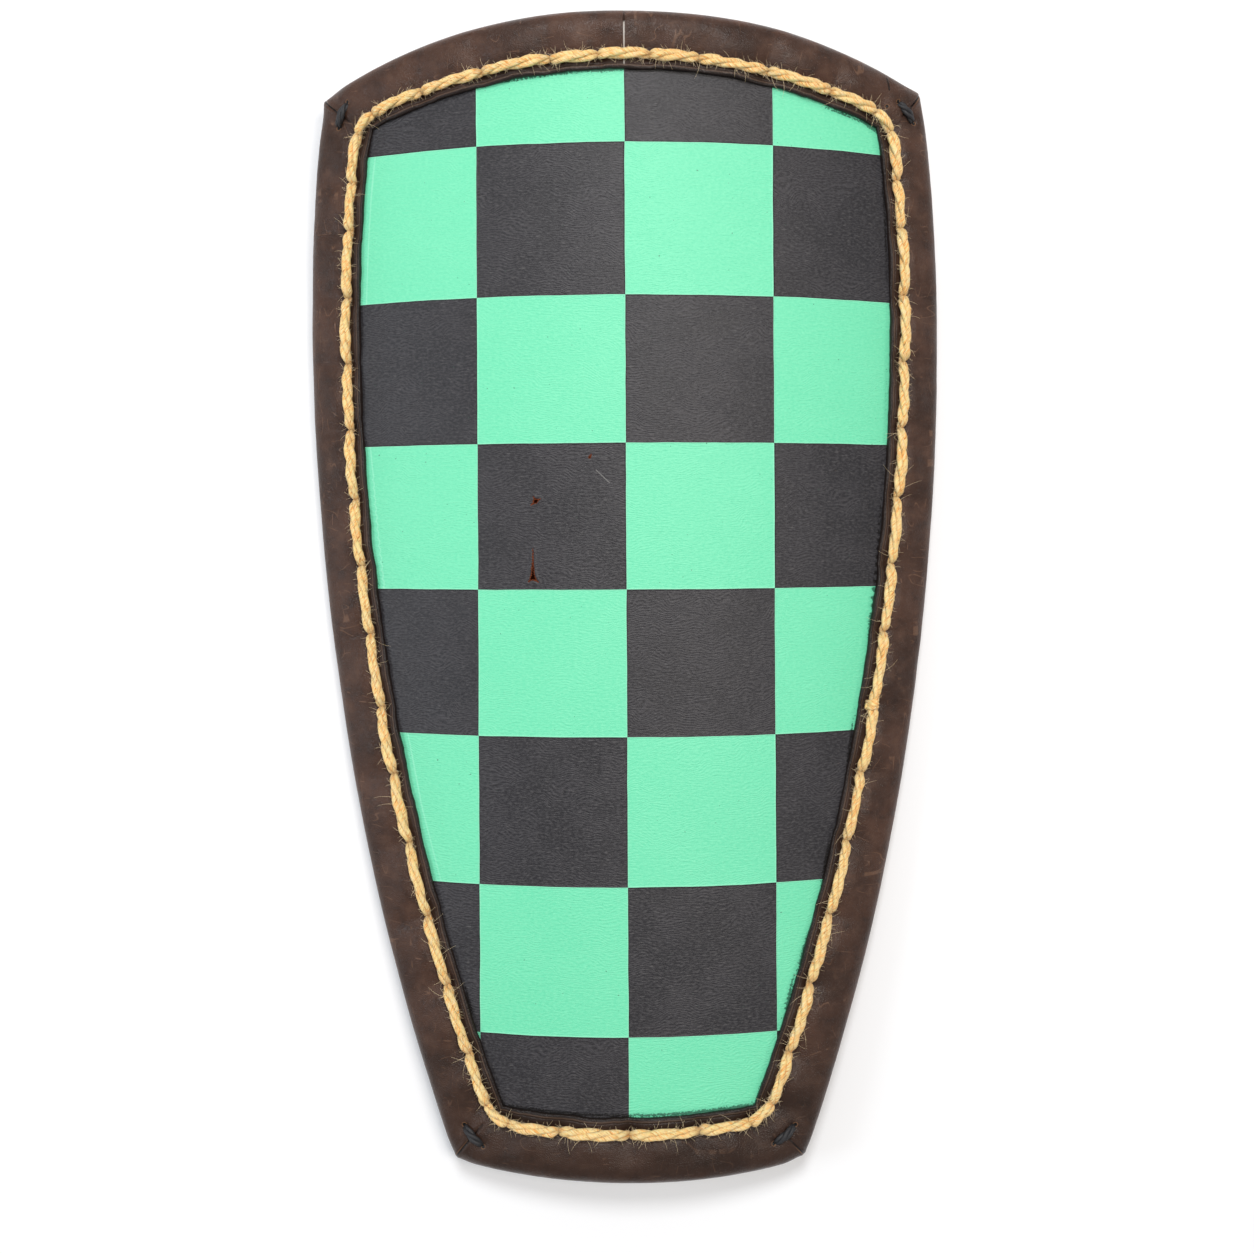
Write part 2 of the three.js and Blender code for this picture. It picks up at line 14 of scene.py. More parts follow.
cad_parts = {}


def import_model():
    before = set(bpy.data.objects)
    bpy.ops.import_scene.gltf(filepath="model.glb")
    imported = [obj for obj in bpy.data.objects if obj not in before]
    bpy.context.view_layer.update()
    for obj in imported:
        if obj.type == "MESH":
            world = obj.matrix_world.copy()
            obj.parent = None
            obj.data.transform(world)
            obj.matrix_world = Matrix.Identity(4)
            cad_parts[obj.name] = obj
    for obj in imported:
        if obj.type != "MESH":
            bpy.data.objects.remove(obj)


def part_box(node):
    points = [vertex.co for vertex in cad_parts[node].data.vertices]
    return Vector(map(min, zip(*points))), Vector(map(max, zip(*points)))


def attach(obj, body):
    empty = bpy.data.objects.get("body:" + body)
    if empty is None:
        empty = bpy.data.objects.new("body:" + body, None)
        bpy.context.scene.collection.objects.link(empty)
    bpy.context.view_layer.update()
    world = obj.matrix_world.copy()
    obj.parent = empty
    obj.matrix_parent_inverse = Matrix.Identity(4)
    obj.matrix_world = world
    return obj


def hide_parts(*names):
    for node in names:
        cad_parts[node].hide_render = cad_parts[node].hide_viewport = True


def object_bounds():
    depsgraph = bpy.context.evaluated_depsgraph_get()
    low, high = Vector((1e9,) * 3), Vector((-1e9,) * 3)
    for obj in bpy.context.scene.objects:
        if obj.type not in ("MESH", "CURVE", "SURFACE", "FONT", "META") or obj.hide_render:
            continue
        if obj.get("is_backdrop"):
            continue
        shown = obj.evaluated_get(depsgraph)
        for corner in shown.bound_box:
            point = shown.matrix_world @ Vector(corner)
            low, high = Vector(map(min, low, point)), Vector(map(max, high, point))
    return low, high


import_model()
cad_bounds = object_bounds()
random = np.random.default_rng(7)
between = random.uniform

# A distance beyond every feature, in millimetres
FAR = 99.0

# Flat pattern, in millimetres
TOP_WIDTH = 393
BOTTOM_WIDTH = 215
TOP_CORNER_Y = 315.2
BOTTOM_CORNER_Y = -343.5
TOP_BOW = 36.5
BOTTOM_BOW = 8.3
UPPER_BELLY = (13.6, 35)
LOWER_BELLY = (138.8, 348.7)
FACE_RADIUS = 370
REST_TILT = math.radians(3.565)
SIDE_POINTS = 1601

# Layers, as heights over the front of the canvas
CANVAS_BACK = -0.8
BOARD_FRONT = -1.1
BOARD_BACK = -9.1
SLOT_FRONT = 0.3
BOARD_INSET = 7
SLOT_DEPTH = 6.7
MIDDLE = BOARD_BACK / 2

# Leather flap and cord lines, as depths inside the outer edge on the top, right, bottom and left sides
FLAP = (36.7, 42, 39.5, 42)
CORD_LINE = (28.3, 33, 30, 33)
TOP_STITCHES = [35, 40, 42, 28, 31, 28.5, 43, 41, 33]
SIDE_STITCHES = [32, 30, 42, 41, 41, 43, 41, 42, 45, 41, 42, 45, 42, 42, 32]
BOTTOM_STITCHES = [31, 41.6, 41.6, 31]
STITCHES = [TOP_STITCHES, SIDE_STITCHES, BOTTOM_STITCHES, SIDE_STITCHES[::-1]]
CORNER_REACH = 9.5

# Painted checks: the lines between columns and rows
COLUMN_LINES = [-91, 0, 91]
ROW_LINES = [272.4, 180.7, 91.8, 3.6, -85.1, -175.2, -265.2]

# Tears in the canvas: tapering gashes, each with its start, its end and its half width at both
GASHES = (
    ((-56.8, 10.8), (-56.5, 28.2), 1.4, 0.2),
    ((-56.8, 11.0), (-59.3, 8.4), 1.8, 0.3),
    ((-56.8, 11.0), (-53.4, 8.2), 1.7, 0.3),
    ((-54.8, 57.0), (-57.6, 54.6), 1.5, 0.25),
    ((-54.8, 57.0), (-51.9, 58.3), 1.6, 0.25),
    ((-54.8, 57.0), (-56.2, 59.7), 1.2, 0.2),
    ((-21.7, 83.2), (-20.8, 84.6), 0.85, 0.45),
)
SCRATCH = ((-18, 75.5), (-10, 67.8))
# Where the canvas has a closer grid for them, as shares across it and down it
TORN_COLUMNS = (0.325, 0.385)
TORN_ROWS = (0.37, 0.5)

join = np.concatenate


def spread(numbers, vector):
    """Each of the numbers times the vector."""
    return np.multiply.outer(numbers, vector)


def norm(vectors):
    """The lengths of vectors."""
    return np.linalg.norm(vectors, axis=-1)


def unit(vectors):
    """Vectors turned to length 1."""
    return vectors / np.linalg.norm(vectors, axis=-1, keepdims=True)


def run_along(points):
    """How far along its path each point lies."""
    return join([[0], np.cumsum(norm(np.diff(points, axis=0)))])


class Side:
    """One side of the outer edge, clockwise: a smooth curve led by control points."""

    def __init__(self, *controls):
        t = np.linspace(0, 1, SIDE_POINTS)[:, None]
        degree = len(controls) - 1
        terms = [
            math.comb(degree, i) * (1 - t) ** (degree - i) * t**i * np.array(control, float)
            for i, control in enumerate(controls)
        ]
        self.points = sum(terms)
        run = run_along(self.points)
        self.length = run[-1]
        self.shares = run / self.length
        self.tangents = unit(np.gradient(self.points, self.shares, axis=0))

    def at(self, shares):
        """Points at these shares of its length."""
        return np.stack([np.interp(shares, self.shares, self.points[:, i]) for i in (0, 1)], -1)

    def ahead(self, shares):
        """The way along it."""
        return np.stack([np.interp(shares, self.shares, self.tangents[:, i]) for i in (0, 1)], -1)

    def inwards(self, shares):
        """The way in, square to it."""
        return self.ahead(shares)[..., ::-1] * (1, -1)


def mirrored(point):
    """The same point on the left."""
    return (-point[0], point[1])


top_left, top_right = (-TOP_WIDTH / 2, TOP_CORNER_Y), (TOP_WIDTH / 2, TOP_CORNER_Y)
bottom_left, bottom_right = (-BOTTOM_WIDTH / 2, BOTTOM_CORNER_Y), (BOTTOM_WIDTH / 2, BOTTOM_CORNER_Y)
upper_handle = (TOP_WIDTH / 2 + UPPER_BELLY[0], TOP_CORNER_Y - UPPER_BELLY[1])
lower_handle = (BOTTOM_WIDTH / 2 + LOWER_BELLY[0], BOTTOM_CORNER_Y + LOWER_BELLY[1])
SIDES = [
    Side(top_left, (0, TOP_CORNER_Y + 2 * TOP_BOW), top_right),
    Side(top_right, upper_handle, lower_handle, bottom_right),
    Side(bottom_right, (0, BOTTOM_CORNER_Y - 2 * BOTTOM_BOW), bottom_left),
    Side(bottom_left, mirrored(lower_handle), mirrored(upper_handle), top_left),
]


def mitre(depths, k):
    """The point at both sides' depths, on the mitre line where side k begins."""
    a, b = SIDES[k - 1].inwards(1.0), SIDES[k].inwards(0.0)
    return SIDES[k].at(0.0) + np.linalg.solve([a, b], [depths[k - 1], depths[k]])


def inset(depths, k, shares):
    """Points along side k, moved in by its depth, from mitre to mitre."""
    side = SIDES[k]
    shares = np.asarray(shares, float)
    start, end = mitre(depths, k), mitre(depths, (k + 1) % 4)
    first = (start - side.at(0.0)) @ side.ahead(0.0) / side.length
    last = 1 + (end - side.at(1.0)) @ side.ahead(1.0) / side.length

    def moved(along):
        return side.at(along) + side.inwards(along) * depths[k]

    points = moved(first + (last - first) * shares)
    points = points + spread(1 - shares, start - moved(first))
    return points + spread(shares, end - moved(last))


def bend(flat, h):
    """Flat pattern points and heights to the shield's own frame, in millimetres."""
    angle = flat[..., 0] / FACE_RADIUS
    radius = FACE_RADIUS + h
    return np.stack([radius * np.sin(angle), flat[..., 1], radius * np.cos(angle) - FACE_RADIUS], -1)


def even(depth):
    """The same depth on all four sides."""
    return (depth,) * 4


def sheet_grid(columns, rows, depths):
    """Flat points of a grid over the pattern, from shares across and down."""
    u, v = columns[None, :, None], rows[:, None, None]
    top, bottom = inset(depths, 0, columns)[None], inset(depths, 2, 1 - columns)[None]
    right, left = inset(depths, 1, rows)[:, None], inset(depths, 3, 1 - rows)[:, None]
    corners = [mitre(depths, k) for k in range(4)]
    middle = (1 - u) * (1 - v) * corners[0] + u * (1 - v) * corners[1]
    middle = middle + u * v * corners[2] + (1 - u) * v * corners[3]
    return (1 - v) * top + v * bottom + (1 - u) * left + u * right - middle


# Where the shield rests: tilted, and lifted so that its board is where the frame's board is
tilt = np.array(Matrix.Rotation(REST_TILT, 3, "X"))
outline = sheet_grid(np.linspace(0, 1, 41), np.linspace(0, 1, 61), even(BOARD_INSET))
board_points = join([bend(outline, BOARD_FRONT), bend(outline, BOARD_BACK)]).reshape(-1, 3) @ tilt.T
board_low, board_high = (np.array(corner) * 1000 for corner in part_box("board"))
REST_PLACE = np.array([0, board_low[1] - board_points[:, 1].min(), board_high[2] - board_points[:, 2].max()])


def world(points):
    """Millimetres in the shield's own frame to metres in the world."""
    return (points @ tilt.T + REST_PLACE) * 0.001


def stitch_shares(k):
    """The cord holes of side k, as shares of its cord line."""
    start, end = inset(CORD_LINE, k, [0, 1])
    margin = CORNER_REACH / norm(end - start)
    runs = np.cumsum([0] + STITCHES[k])
    return margin + (1 - 2 * margin) * runs / runs[-1]


HOLES = join([inset(CORD_LINE, k, stitch_shares(k)) for k in range(4)])


def ripple(flat, size, seed):
    """Smooth noise from about -1 to 1 at flat points, in waves of this size."""
    places = join([flat / size, np.full((len(flat), 1), seed)], 1) + seed
    return np.array([noise.noise(Vector(place)) for place in places])


def bell(distance, width):
    """A bump that is 1 at no distance and nearly 0 at twice the width."""
    return np.exp(-((distance / width) ** 2))


# Meshes


def put_in_scene(name, data):
    """A new object in the scene."""
    made = bpy.data.objects.new(name, data)
    bpy.context.scene.collection.objects.link(made)
    return made


def make_object(name, points, faces, material, node=None, vectors=None, values=None):
    """A mesh in world metres, in place of a node if one is given."""
    mesh = bpy.data.meshes.new(name)
    mesh.from_pydata(np.asarray(points).tolist(), [], [list(face) for face in faces])
    for attribute, data in (vectors or {}).items():
        layer = mesh.attributes.new(attribute, "FLOAT_VECTOR", "POINT")
        layer.data.foreach_set("vector", np.asarray(data, np.float32).ravel())
    for attribute, data in (values or {}).items():
        layer = mesh.attributes.new(attribute, "FLOAT", "POINT")
        layer.data.foreach_set("value", np.asarray(data, np.float32).ravel())
    mesh.polygons.foreach_set("use_smooth", np.full(len(mesh.polygons), True))
    mesh.materials.append(material)
    piece = put_in_scene(name, mesh)
    if node:
        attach(piece, "root")
        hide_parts(node)
    return piece


def loop_faces(stations, count, closed=True):
    """Quads of a tube with so many points a section, as a ring or open."""
    i = np.arange(stations if closed else stations - 1)[:, None]
    j = np.arange(count)[None, :]
    n, k = (i + 1) % stations, (j + 1) % count
    return np.stack([i * count + j, i * count + k, n * count + k, n * count + j], -1).reshape(-1, 4)


def sheet_faces(columns, rows):
    """Quads of a closed sheet: its front grid, its back grid and its edge."""
    at = np.arange(columns * rows).reshape(rows, columns)
    cells = np.stack([at[:-1, :-1], at[1:, :-1], at[1:, 1:], at[:-1, 1:]], -1).reshape(-1, 4)
    back = cells[:, ::-1] + columns * rows
    rim = join([at[0, :-1], at[:-1, -1], at[-1, :0:-1], at[:0:-1, 0]])
    after = np.roll(rim, -1)
    edge = np.stack([rim, after, after + columns * rows, rim + columns * rows], -1)
    return join([cells, back, edge])


# Materials


class Shader:
    """A material's nodes, made by calls that take numbers or other nodes' outputs."""

    def __init__(self, name):
        self.material = bpy.data.materials.new(name)
        self.material.use_nodes = True
        self.tree = self.material.node_tree
        self.surface = self.tree.nodes["Principled BSDF"]

    def put(self, socket, value):
        """Links or sets a socket."""
        if isinstance(value, bpy.types.NodeSocket):
            self.tree.links.new(value, socket)
        else:
            socket.default_value = value

    def node(self, kind, inputs=None, **settings):
        made = self.tree.nodes.new("ShaderNode" + kind)
        for key, value in settings.items():
            setattr(made, key, value)
        for key, value in (inputs or {}).items():
            self.put(made.inputs[key], value)
        return made

    def math(self, operation, *values):
        return self.node("Math", dict(enumerate(values)), operation=operation).outputs[0]

    def plus(self, a, b):
        return self.math("ADD", a, b)

    def minus(self, a, b):
        return self.math("SUBTRACT", a, b)

    def times(self, a, b):
        return self.math("MULTIPLY", a, b)

    def mix(self, factor, a, b):
        """The colour between a and b at this share."""
        return self.node("Mix", {0: factor, 6: a, 7: b}, data_type="RGBA").outputs[2]

    def over(self, tone, factor, *screen_colour):
        """The tone with a colour from the screen laid over it by this share."""
        return self.mix(factor, tone, colour(*screen_colour))

    def span(self, value, low, high, to_low=0.0, to_high=1.0):
        """The value eased from one range to another."""
        inputs = {0: value, 1: low, 2: high, 3: to_low, 4: to_high}
        return self.node("MapRange", inputs, interpolation_type="SMOOTHSTEP").outputs[0]

    def attribute(self, name, output="Vector"):
        return self.node("Attribute", attribute_name=name).outputs[output]

    def split(self, vector):
        return self.node("SeparateXYZ", {0: vector}).outputs

    def scaled(self, vector, x, y, z=1.0):
        """The vector, each part times its own number."""
        return self.node("VectorMath", {0: vector, 1: (x, y, z)}, operation="MULTIPLY").outputs[0]

    def segment(self, place, start, end):
        """How far along a segment the place is, from 0 to 1, and how far off."""
        start, reach = np.array(start, float), np.subtract(end, start)
        apart = self.node("VectorMath", {0: place, 1: (*start, 0)}, operation="SUBTRACT").outputs[0]
        ratio = tuple(reach / (reach @ reach))
        share = self.node("VectorMath", {0: apart, 1: (*ratio, 0)}, operation="DOT_PRODUCT").outputs["Value"]
        share = self.math("MINIMUM", self.math("MAXIMUM", share, 0.0), 1.0)
        foot = self.node("VectorMath", {0: (*reach, 0), "Scale": share}, operation="SCALE").outputs[0]
        away = self.node("VectorMath", {0: apart, 1: foot}, operation="DISTANCE").outputs["Value"]
        return share, away

    def noise(self, vector, scale, detail=2.0, roughness=0.5):
        """Soft noise from 0 to 1, its scale in waves to a unit."""
        inputs = {"Vector": vector, "Scale": scale, "Detail": detail, "Roughness": roughness}
        return self.node("TexNoise", inputs).outputs[0]

    def bump(self, height, distance):
        """The surface's direction over relief so many metres high."""
        return self.node("Bump", {"Height": height, "Distance": distance}).outputs[0]

    def finish(self, tone, roughness, normal=None, **sockets):
        """The material with its surface set."""
        self.put(self.surface.inputs["Base Color"], tone)
        self.put(self.surface.inputs["Roughness"], roughness)
        if normal is not None:
            self.put(self.surface.inputs["Normal"], normal)
        for name, value in sockets.items():
            self.put(self.surface.inputs[name.replace("_", " ")], value)
        return self.material


def colour(red, green, blue):
    """A colour of 0 to 255 on screen as the light that a shader takes."""
    shares = [part / 255 for part in (red, green, blue)]
    light = [part / 12.92 if part <= 0.04045 else ((part + 0.055) / 1.055) ** 2.4 for part in shares]
    return (*light, 1.0)


def painted_canvas():
    """Mint and black satin checks on a fine, wrinkled weave, with ragged dark paint at the rim, and painted
    highlights and shade.
    """
    m = Shader("painted_canvas")
    flat = m.attribute("flat")
    wobble = m.times(m.minus(m.noise(flat, 0.03, 2.0), 0.5), 0.9)
    s, y, _ = m.split(flat)
    s, y = m.plus(s, wobble), m.plus(y, wobble)
    crossed, nearest = 1.0, FAR
    for value, lines in ((s, COLUMN_LINES), (y, ROW_LINES)):
        for line in lines:
            crossed = m.plus(crossed, m.math("GREATER_THAN", value, line))
            nearest = m.math("MINIMUM", nearest, m.math("ABSOLUTE", m.minus(value, line)))
    green = m.math("MODULO", crossed, 2.0)
    broad = m.noise(flat, 0.012, 4.0)
    fine = m.noise(m.scaled(flat, 0.55, 1.0), 0.8, 4.0, 0.65)
    wrinkle_and_highlight = m.noise(m.scaled(flat, 0.2, 0.95), 1.0, 3.0, 0.6)
    swirl = {"Vector": flat, "Scale": 0.2, "Distortion": 38.0, "Detail": 1.0, "Detail Scale": 0.26}
    threads = m.node("TexWave", swirl, bands_direction="Y").outputs["Fac"]
    threads = m.times(threads, m.span(m.noise(flat, 0.03, 2.0), 0.35, 0.6, 0.25, 1.0))
    mint = m.mix(broad, colour(106, 222, 176), colour(120, 229, 184))
    mint = m.over(mint, m.span(fine, 0.35, 0.7), 128, 233, 188)
    coal = m.mix(broad, colour(35, 35, 40), colour(47, 45, 48))
    coal = m.over(coal, m.span(fine, 0.4, 0.72), 70, 69, 72)
    # Painted highlights on the wrinkles of the black paint
    coal = m.over(coal, m.span(wrinkle_and_highlight, 0.57, 0.72, 0.0, 0.6), 96, 94, 95)
    coal = m.over(coal, m.span(threads, 0.3, 1.0, 0.0, 0.4), 78, 76, 80)
    mint = m.over(mint, m.span(threads, 0.3, 1.0, 0.0, 0.3), 134, 236, 192)
    paint = m.mix(green, coal, mint)
    # Along the lines between checks: a raised paint ridge, lighter on its green side as a painted highlight
    # and a little darker on its black side
    ridge_and_highlight = m.span(nearest, 0.25, 0.9, 1.0, 0.0)
    paint = m.mix(m.times(ridge_and_highlight, 0.5), paint, m.mix(green, colour(30, 29, 32), colour(160, 244, 206)))
    paint = m.over(paint, m.span(m.noise(flat, 0.42, 1.0), 0.765, 0.8, 0.0, 0.6), 56, 74, 66)
    ragged = m.times(m.minus(m.noise(flat, 0.7, 3.0, 0.7), 0.5), m.span(s, -112, -92, 1.0, 4.5))
    clean_side = m.span(s, -112, -92, 1.2, 0.0)
    lip = m.plus(m.plus(m.attribute("rim_gap", "Fac"), ragged), clean_side)
    paint = m.over(paint, m.span(lip, 1.5, 1.9, 1.0, 0.0), 26, 24, 25)
    # Painted shade: a darker green line beside the leather's edge
    paint = m.over(paint, m.times(m.span(lip, 1.5, 4.5, 0.35, 0.0), green), 84, 190, 150)
    # A paler line along the green a little inside the leather, on the left side only
    pale_line = m.span(m.math("ABSOLUTE", m.minus(m.attribute("rim_gap", "Fac"), 4.6)), 0.2, 0.7, 0.35, 0.0)
    pale_line = m.times(pale_line, m.span(s, -130, -90, 1.0, 0.0))
    paint = m.over(paint, m.times(pale_line, green), 176, 252, 220)
    inside = -FAR
    for start, end, wide, narrow in GASHES:
        share, away = m.segment(flat, start, end)
        taper = m.math("POWER", m.minus(1.0, share), 1.7)
        width = m.math("MULTIPLY_ADD", taper, wide - narrow, narrow)
        inside = m.math("MAXIMUM", inside, m.minus(width, away))
    inside = m.plus(inside, m.math("MULTIPLY_ADD", m.noise(flat, 1.2, 3.0), 1.4, -0.7))
    tear_colour_and_shade = m.mix(m.span(m.noise(flat, 1.6, 2.0), 0.35, 0.65), colour(70, 30, 18), colour(124, 70, 46))
    # Painted shade deep in each gash, over the torn fibres' own rusty brown
    tear_colour_and_shade = m.over(tear_colour_and_shade, m.span(inside, 0.3, 0.75), 26, 8, 4)
    open_cloth = m.span(inside, -0.25, 0.05)
    paint = m.mix(open_cloth, paint, tear_colour_and_shade)
    _, away = m.segment(flat, *SCRATCH)
    paint = m.over(paint, m.span(away, 0.15, 0.4, 0.5, 0.0), 150, 148, 146)
    height = m.plus(m.times(wrinkle_and_highlight, 2.2), m.times(fine, 1.6))
    height = m.plus(height, m.plus(ridge_and_highlight, m.times(threads, 0.45)))
    roughness = m.span(fine, 0.2, 0.8, 0.36, 0.48)
    gloss = m.times(m.minus(1.0, open_cloth), 0.37)
    return m.finish(paint, roughness, m.bump(height, 0.00016), Specular_IOR_Level=gloss)


def leather():
    """Dark waxed leather: mottled, scratched, finely grained, redder at the edge, with painted shade and
    highlights.
    """
    m = Shader("leather")
    place = m.attribute("flat")
    depth = m.split(m.attribute("run"))[1]
    broad = m.noise(place, 0.02, 5.0, 0.6)
    mottle = m.noise(place, 0.09, 5.0, 0.65)
    tone = m.mix(m.span(broad, 0.35, 0.68), colour(58, 40, 32), colour(80, 56, 45))
    tone = m.over(tone, m.span(mottle, 0.5, 0.7, 0.0, 0.4), 100, 74, 60)
    tone = m.over(tone, m.span(mottle, 0.3, 0.5, 0.55, 0.0), 42, 32, 28)
    worn = m.times(m.span(depth, 0.5, 7.0, 1.0, 0.0), m.span(m.noise(place, 0.05, 4.0), 0.35, 0.65))
    tone = m.over(tone, m.times(worn, 0.6), 104, 62, 42)
    scratch = m.noise(m.scaled(place, 0.35, 0.05), 1.0, 3.0, 0.6)
    other = m.noise(m.scaled(place, 0.05, 0.35), 1.0, 3.0, 0.6)
    scratches = m.math("MAXIMUM", m.span(scratch, 0.69, 0.73), m.span(other, 0.69, 0.73))
    tone = m.over(tone, m.times(scratches, 0.5), 134, 102, 84)
    for x, y in ((0.075, 0.02), (0.02, 0.075)):
        course = m.math("ABSOLUTE", m.minus(m.noise(m.scaled(place, x, y), 1.0, 1.0), 0.5))
        here = m.span(m.noise(m.scaled(place, y, x, 2.0), 1.3, 2.0), 0.52, 0.6)
        hairline = m.times(m.span(course, 0.001, 0.009, 0.32, 0.0), here)
        tone = m.over(tone, hairline, 142, 108, 86)
    cut_gap = m.attribute("cut_gap", "Fac")
    tone = m.over(tone, m.span(cut_gap, 4.5, 10.0, 0.55, 0.0), 34, 27, 25)
    # Painted shade: darker towards the bottom
    tone = m.over(tone, m.span(m.split(place)[1], -335, -230, 0.5, 0.0), 36, 25, 19)
    # Painted shade where the cut edge drops to the canvas
    tone = m.over(tone, m.span(cut_gap, 0.9, 1.5, 0.75, 0.0), 24, 18, 16)
    # A lighter line along the cut edge's rounded top: burnished leather, with a painted highlight
    line = m.times(m.span(cut_gap, 1.3, 1.8), m.span(cut_gap, 1.9, 2.5, 1.0, 0.0))
    tone = m.over(tone, m.times(line, 0.4), 112, 92, 78)
    front = m.span(m.split(place)[2], 0.0, 1.0, 1.0, 0.0)
    for k in range(4):
        start, end = corner_seam(k)
        # A painted highlight on one lip of each corner seam, then the seam's dark line
        aside = unit(np.array([start[1] - end[1], end[0] - start[0]])) * 0.75
        share, away = m.segment(place, start + aside, end + aside)
        fade = m.times(front, m.span(share, 0.25, 0.7, 0.45, 0.0))
        tone = m.over(tone, m.times(fade, m.span(away, 0.2, 0.45, 1.0, 0.0)), 140, 104, 76)
        share, away = m.segment(place, start, end)
        fade = m.times(front, m.span(share, 0.5, 1.0, 0.95, 0.6))
        tone = m.over(tone, m.times(fade, m.span(away, 0.35, 0.65, 1.0, 0.0)), 16, 11, 10)
    # Painted shade in the creases, the top seam's groove, round the cord holes and at the thread pricks
    tone = m.over(tone, m.times(m.attribute("crease_shade", "Fac"), 0.7), 22, 16, 14)
    # At the pin hole and the corner threads' holes: a tan ring, and painted shade in the hole itself
    for spot, reach in [PIN_HOLE] + [(tip, 1.0) for k in range(4) for tip in thread_ends(k, 1.1)]:
        away = m.node("VectorMath", {0: place, 1: (*spot, 0)}, operation="DISTANCE").outputs["Value"]
        away = m.math("MULTIPLY_ADD", m.noise(place, 0.9, 1.0), 0.7, m.minus(away, 0.35))
        tone = m.over(tone, m.span(away, reach + 0.3, reach + 0.7, 0.5, 0.0), 150, 108, 74)
        tone = m.over(tone, m.span(away, reach - 0.1, reach + 0.25, 1.0, 0.0), 10, 8, 8)
    # Painted shade in the nick
    _, away = m.segment(place, *LEATHER_NICK)
    tone = m.over(tone, m.span(away, 0.45, 0.8, 0.85, 0.0), 14, 10, 9)
    pebble = {"Vector": place, "Scale": 0.9}
    cells = m.node("TexVoronoi", pebble, feature="DISTANCE_TO_EDGE").outputs["Distance"]
    grain = m.times(m.span(cells, 0.0, 0.35), 0.8)
    grain = m.plus(grain, m.times(m.noise(place, 1.4, 3.0), 0.7))
    grain = m.plus(grain, m.times(mottle, 2.5))
    tone = m.over(tone, m.attribute("chalk", "Fac"), 236, 230, 222)
    roughness = m.span(mottle, 0.3, 0.7, 0.3, 0.46)
    return m.finish(tone, roughness, m.bump(grain, 0.00014), Specular_IOR_Level=0.28)


def jute():
    """Dry golden fibre: slanting tufts with painted highlights, painted shade in the pits between, and
    painted shade where it goes down.
    """
    m = Shader("jute")
    fibre = m.attribute("fibre")
    streak = m.noise(m.scaled(fibre, 0.14, 0.75), 1.0, 4.0, 0.7)
    hair = m.noise(m.scaled(fibre, 0.3, 1.5), 1.0, 3.0, 0.7)
    patch = m.noise(fibre, 0.09, 2.0)
    tone = m.mix(m.span(streak, 0.36, 0.58), colour(255, 181, 95), colour(255, 229, 158))
    tone = m.over(tone, m.span(patch, 0.4, 0.65, 0.0, 0.4), 255, 231, 170)
    # Painted highlights on the fibres
    tone = m.over(tone, m.span(hair, 0.54, 0.66, 0.0, 0.85), 255, 244, 208)
    # Painted shade in the pits between fibres
    tone = m.over(tone, m.span(hair, 0.35, 0.44, 0.85, 0.0), 180, 98, 34)
    # Painted shade where the cord goes down into the holes
    tone = m.over(tone, m.times(m.attribute("hole_shade", "Fac"), 0.85), 122, 70, 32)
    tone = m.over(tone, m.attribute("loose", "Fac"), 255, 234, 194)
    height = m.plus(streak, m.times(hair, 1.1))
    sheen = {"Sheen_Weight": 0.8, "Sheen_Roughness": 0.5, "Sheen_Tint": colour(255, 222, 170)}
    return m.finish(tone, 0.85, m.bump(height, 0.0006), Specular_IOR_Level=0.25, **sheen)


def black_thread():
    """Black waxed thread with fine twisted fibres."""
    m = Shader("black_thread")
    fibre = m.attribute("fibre")
    streak = m.noise(m.scaled(fibre, 0.3, 2.5), 1.0, 3.0, 0.6)
    tone = m.mix(streak, colour(16, 16, 18), colour(52, 52, 56))
    return m.finish(tone, 0.55, m.bump(streak, 0.0002))


def wood(name, dark, light, across, along, roughness, distance):
    """Plain wood with its grain one way."""
    m = Shader(name)
    place = m.attribute("flat")
    grain = m.noise(m.scaled(place, across, along), 1.0, 6.0, 0.65)
    pores = m.noise(m.scaled(place, across * 9, along * 5), 1.0, 2.0, 0.6)
    tone = m.mix(m.span(grain, 0.3, 0.7), colour(*dark), colour(*light))
    tone = m.mix(m.times(m.span(pores, 0.58, 0.72), 0.35), tone, colour(*(c * 0.6 for c in dark)))
    return m.finish(tone, roughness, m.bump(m.plus(grain, pores), distance))


def screw_steel():
    """Plain, slightly dull steel."""
    m = Shader("screw_steel")
    place = m.attribute("flat")
    tone = m.mix(m.noise(place, 0.8, 3.0), colour(120, 120, 124), colour(176, 176, 180))
    return m.finish(tone, m.span(m.noise(place, 2.0, 2.0), 0.3, 0.7, 0.3, 0.5), Metallic=1.0)


# Canvas


def along_segment(points, start, end):
    """How far along a segment each point is, from 0 to 1, and how far off."""
    start, end = np.array(start), np.array(end)
    reach = end - start
    share = np.clip((points - start) @ reach / (reach @ reach), 0, 1)
    return share, norm(points - start - share[..., None] * reach)


def tears(flat):
    """How torn the canvas is at each point, and how far its lips stand up."""
    inside = np.full(len(flat), -FAR)
    for start, end, wide, narrow in GASHES:
        share, off = along_segment(flat, start, end)
        inside = np.maximum(inside, narrow + (wide - narrow) * (1 - share) ** 1.7 - off)
    return np.clip(0.5 + inside / 0.9, 0, 1), bell(inside + 0.8, 0.7)


def line_shares(count, dense_from, dense_to, dense_count):
    """Grid lines from 0 to 1, closer between two shares."""
    everywhere, dense = np.linspace(0, 1, count), np.linspace(dense_from, dense_to, dense_count)
    return np.unique(join([everywhere, dense]))


